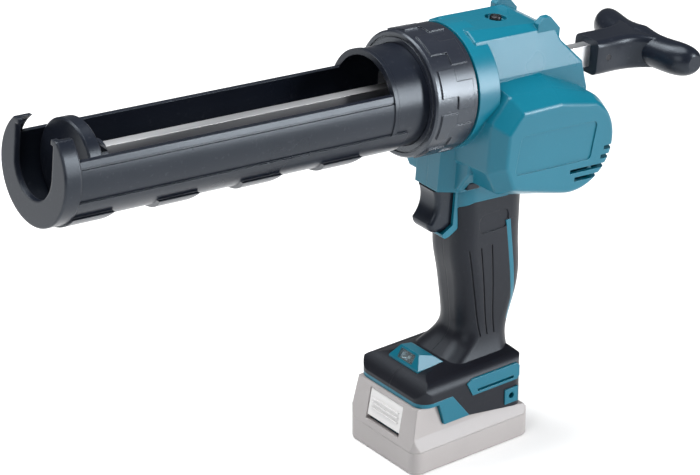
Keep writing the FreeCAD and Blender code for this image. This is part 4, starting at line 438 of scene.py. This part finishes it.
def metal(name, dark, light, rough, line_scale):
    """Brushed metal: drawn-out streaks in tone, roughness and bump."""
    paint, tree, shader = new_paint(name)
    brush = place_group(tree, BRUSH, {"Line Scale": line_scale})
    edges = place_group(tree, EDGES, {"Edge Radius": METAL_EDGE})
    tree.links.new(tone(tree, brush.outputs["Mask"], dark, light), shader.inputs["Base Color"])
    tree.links.new(remap(tree, brush.outputs["Mask"], DRIFT_LOW, DRIFT_HIGH,
                         rough - SMOOTHER, rough + ROUGHER), shader.inputs["Roughness"])
    shader.inputs["Metallic"].default_value = 1.0
    bumped(tree, shader, brush.outputs["Height"], LINE_DEPTH, LINE_STRENGTH, edges.outputs["Normal"])
    return paint


FINISHES["steel"] = metal("steel_finish", (0.70, 0.71, 0.73), (0.82, 0.83, 0.85),
                          rough=0.40, line_scale=900.0)
FINISHES["alloy"] = metal("alloy_finish", (0.52, 0.53, 0.55), (0.62, 0.63, 0.65),
                          rough=0.42, line_scale=500.0)
FINISHES["brass"] = metal("brass_finish", (0.60, 0.42, 0.15), (0.72, 0.53, 0.22),
                          rough=0.30, line_scale=900.0)
BLACKENED = metal("blackened_steel_finish", (0.035, 0.036, 0.040), (0.060, 0.061, 0.066),
                  rough=0.32, line_scale=700.0)
REFLECTOR = metal("reflector_finish", (0.10, 0.11, 0.12), (0.16, 0.17, 0.18),
                  rough=0.20, line_scale=300.0)
print("metals:", BLACKENED.name, REFLECTOR.name)

# %% [markdown]
# The lamp's window is clear polycarbonate. It is nearly all transmission, with a faint moulded drift in its
# tint, so that what lies behind it shows.

# %% Clear window
WINDOW_DRIFT_SCALE = 60.0
WINDOW_ROUGHNESS = 0.06
WINDOW_CLEARNESS = 0.95
POLYCARBONATE_IOR = 1.49


def clear(name, tint, other):
    """Clear plastic with a slightly drifting tint."""
    paint, tree, shader = new_paint(name)
    grain = place_group(tree, GRAIN, {"Drift Scale": WINDOW_DRIFT_SCALE})
    tree.links.new(tone(tree, grain.outputs["Drift"], tint, other), shader.inputs["Base Color"])
    shader.inputs["Roughness"].default_value = WINDOW_ROUGHNESS
    shader.inputs["Transmission Weight"].default_value = WINDOW_CLEARNESS
    shader.inputs["IOR"].default_value = POLYCARBONATE_IOR
    return paint


FINISHES["clear_lens"] = clear("clear_lens_finish", (0.72, 0.86, 0.90), (0.80, 0.92, 0.95))
print("finishes:", len(FINISHES))

# %% [markdown]
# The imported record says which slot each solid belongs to, so the finishes are handed out by that table. The
# collar and the front cap take the blacks made for them. The screws, the cross pin and the lamp's circuit
# board get a darker finish than their slot, as in the photo.

# %% Dress the solids
OWN_FINISH = {"lock_collar": SATIN_BLACK, "front_cap": ROUND_RIM_BLACK,
              "top_screw": BLACKENED, "housing_screws": BLACKENED, "battery_screws": BLACKENED,
              "piston_screw": BLACKENED, "pull_handle_pin": BLACKENED, "lamp_board": REFLECTOR}

for subpart in frame["record"]["subparts"]:
    solid = nodes[subpart["node"]]
    solid.data.materials.clear()
    solid.data.materials.append(OWN_FINISH.get(subpart["node"], FINISHES[subpart["material_slot"]]))

# %% [markdown]
# The CAD screws have plain flat heads. A real head has a rounded rim and a drive recess, which is what the
# eye looks for. Each cap below is one surface round the screw's axis: its outer rings are circles, its inner
# rings follow the outline of the recess, and its last rings fall to the recess's floor. First, the heads'
# middles are read from the solids.

# %% Where the screw heads are


def face_values(node):
    """Centres, normals and areas of a solid's faces as arrays."""
    mesh = nodes[node].data
    count = len(mesh.polygons)
    centres, normals, areas = np.empty(3 * count), np.empty(3 * count), np.empty(count)
    mesh.polygons.foreach_get("center", centres)
    mesh.polygons.foreach_get("normal", normals)
    mesh.polygons.foreach_get("area", areas)
    return centres.reshape(-1, 3), normals.reshape(-1, 3), areas


FACING_COS = 0.99


def head_centres(node, direction, apart):
    """One middle for each flat head that faces direction: faces nearer than apart belong together."""
    centres, normals, areas = face_values(node)
    facing = normals @ np.asarray(direction) > FACING_COS
    centres, areas = centres[facing], areas[facing]
    heads = []
    while len(centres):
        near = np.linalg.norm(centres - centres[0], axis=1) < apart
        heads.append(np.average(centres[near], axis=0, weights=areas[near]))
        centres, areas = centres[~near], areas[~near]
    return heads


HEAD_SPREAD = 0.009
HEAD_FACING = {"top_screw": up_axis, "piston_screw": -rod_axis, "housing_screws": right_axis,
               "battery_screws": np.array((0.0, 0.0, -1.0))}
screw_heads = {name: head_centres(name, facing, HEAD_SPREAD) for name, facing in HEAD_FACING.items()}
print("heads:", {name: len(found) for name, found in screw_heads.items()})

# %% [markdown]
# A grid of points becomes a mesh when each cell of the grid becomes a quad. The helper below does this for
# a whole array at once; each row runs round and closes on itself, and one face closes the last row.

# %% Grid surfaces


def surface(name, rings, body, finish):
    """Mesh from rows of points (rows, around, 3): quads between neighbouring rows, one face on the last."""
    rows, around = rings.shape[:2]
    index = np.arange(rows * around).reshape(rows, around)
    turned = np.roll(index, -1, axis=1)
    quads = np.stack((index[:-1], turned[:-1], turned[1:], index[1:]), axis=-1).reshape(-1, 4)
    mesh = bpy.data.meshes.new(name)
    mesh.from_pydata(rings.reshape(-1, 3).tolist(), [], quads.tolist() + [index[-1].tolist()])
    mesh.shade_smooth()
    mesh.materials.append(finish)
    piece = bpy.data.objects.new(name, mesh)
    bpy.context.scene.collection.objects.link(piece)
    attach(piece, body)
    return piece


NEARLY_ALONG = 0.9


def axes_across(direction):
    """Two unit vectors square to direction and to each other, turning right-handed about it."""
    helper = right_axis if abs(direction @ right_axis) < NEARLY_ALONG else rod_axis
    first = np.cross(helper, direction)
    first = first / np.linalg.norm(first)
    return first, np.cross(direction, first)


print("grid helper ready")

# %% [markdown]
# The top screw and the piston's screw have a six-sided socket, and the thread-forming screws of the shell
# and the pack have a cross. In polar form a hexagon's edge is its flat's distance over the cosine of the
# angle from the flat's middle, and a cross is the larger of two crossed rectangles' edges.

# %% Screw caps
AROUND = 96
RIM_SHARES = np.array((1.0, 0.99, 0.95, 0.88, 0.80))
RIM_HEIGHT_SHARES = np.array((0.0, 0.45, 0.78, 0.95, 1.0))
RECESS_SHARES = np.array((1.06, 1.0, 0.94))
RECESS_HEIGHT_SHARES = np.array((1.0, 0.88, 0.04))
CROSS_ARM_SHARE = 0.36
SMALLEST = 1e-6


def hexagon(angle):
    """Edge of a hexagon of unit flat distance: 1 / cos(angle from the nearest flat's middle)."""
    sixth = np.pi / 3
    return 1 / np.cos(np.mod(angle + sixth / 2, sixth) - sixth / 2)


def cross(angle):
    """Edge of a plus sign of unit reach, whose arms are a share of that wide on each side of their middle."""
    c, s = np.abs(np.cos(angle)) + SMALLEST, np.abs(np.sin(angle)) + SMALLEST
    return np.maximum(np.minimum(1 / c, CROSS_ARM_SHARE / s), np.minimum(CROSS_ARM_SHARE / c, 1 / s))


def screw_cap(name, middle, direction, radius, height, recess, reach, body):
    """Rows: rounded rim from out to in, then the recess's edge, then its wall down to the floor."""
    angle = np.linspace(0, 2 * np.pi, AROUND, endpoint=False)
    edge = reach * recess(angle)
    reaches = np.concatenate((np.outer(radius * RIM_SHARES, np.ones(AROUND)), np.outer(RECESS_SHARES, edge)))
    heights = height * np.concatenate((RIM_HEIGHT_SHARES, RECESS_HEIGHT_SHARES))
    across, along = axes_across(direction)
    spread = reaches[..., None] * (np.cos(angle)[:, None] * across + np.sin(angle)[:, None] * along)
    rise = heights[:, None, None] * direction
    return surface(name, middle + spread + rise, body, BLACKENED)


CAP_SIZES = {"top_screw": (0.0035, 0.0011, hexagon, 0.0015, "housing_body"),
             "piston_screw": (0.0050, 0.0009, hexagon, 0.0020, "push_rod_body"),
             "housing_screws": (0.0031, 0.0012, cross, 0.0019, "housing_body"),
             "battery_screws": (0.0031, 0.0012, cross, 0.0019, "battery_body")}
caps = []
for node, middles in screw_heads.items():
    radius, height, recess, reach, body = CAP_SIZES[node]
    for number, middle in enumerate(middles, 1):
        caps.append(screw_cap(f"{node}_cap_{number}", middle, HEAD_FACING[node], radius, height, recess,
                              reach, body))
print("screw caps:", len(caps))

# %% [markdown]
# Behind the lamp's window sits a dark dish with a bright chip in its middle. The dish is a rounded rectangle
# whose half-sides shrink from the window to the chip, so it is one function of the angle round it and the
# depth. The window leans back, so the dish is set on the window's own normal, read from the solid.

# %% Lamp dish and chip
LENS_HALF_THICK = 0.0008
DISH_DEPTH = 0.0019
DISH_HALF_WIDTH = 0.0052
DISH_HALF_HEIGHT = 0.0029
DISH_RINGS = 8
DISH_LEAST_AREA = 0.12
CHIP_HALF = 0.0011
CHIP_HEIGHT = 0.0006
CHIP_SHARES = np.array((1.0, 1.0, 0.8, 0.4))
CHIP_RISE = np.array((0.0, 0.55, 0.9, 1.0))
CORNER_POWER = 4.0
MOST_NORMAL_X, LEAST_NORMAL_Z = -0.5, 0.2


def lens_frame():
    """Middle of the window, its outward normal and the direction down its slope."""
    centres, normals, areas = face_values("lamp_lens")
    front = areas * ((normals[:, 0] < MOST_NORMAL_X) & (normals[:, 2] > LEAST_NORMAL_Z))
    outward = normals[np.argmax(front)]
    low, high = map(np.array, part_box("lamp_lens"))
    return (low + high) / 2, outward, np.cross(outward, right_axis)


def rounded_rectangle(angle):
    """Unit superellipse: cosine and sine to the power 2 / CORNER_POWER, with their signs."""
    c, s = np.cos(angle), np.sin(angle)
    return np.sign(c) * np.abs(c) ** (2 / CORNER_POWER), np.sign(s) * np.abs(s) ** (2 / CORNER_POWER)


def lamp_rings(depths, half_widths, half_heights):
    """Rounded rectangles of the given half-sides at the given depths behind the window."""
    wide, tall = rounded_rectangle(np.linspace(0, 2 * np.pi, AROUND, endpoint=False))
    middle, outward, downward = lens_frame()
    flat = (np.array(half_widths)[:, None, None] * wide[:, None] * right_axis
            + np.array(half_heights)[:, None, None] * tall[:, None] * downward)
    return middle + flat - (np.array(depths) + LENS_HALF_THICK)[:, None, None] * outward


opening = np.sqrt(np.linspace(1.0, DISH_LEAST_AREA, DISH_RINGS))
dish = surface("lamp_dish", lamp_rings(np.linspace(0.0, DISH_DEPTH, DISH_RINGS), DISH_HALF_WIDTH * opening,
                                       DISH_HALF_HEIGHT * opening), "housing_body", REFLECTOR)
chip = surface("lamp_chip", lamp_rings(DISH_DEPTH - CHIP_HEIGHT * CHIP_RISE, CHIP_HALF * CHIP_SHARES,
                                       CHIP_HALF * CHIP_SHARES), "housing_body",
               FINISHES["white_plastic"])
print("lamp pieces:", dish.name, chip.name)
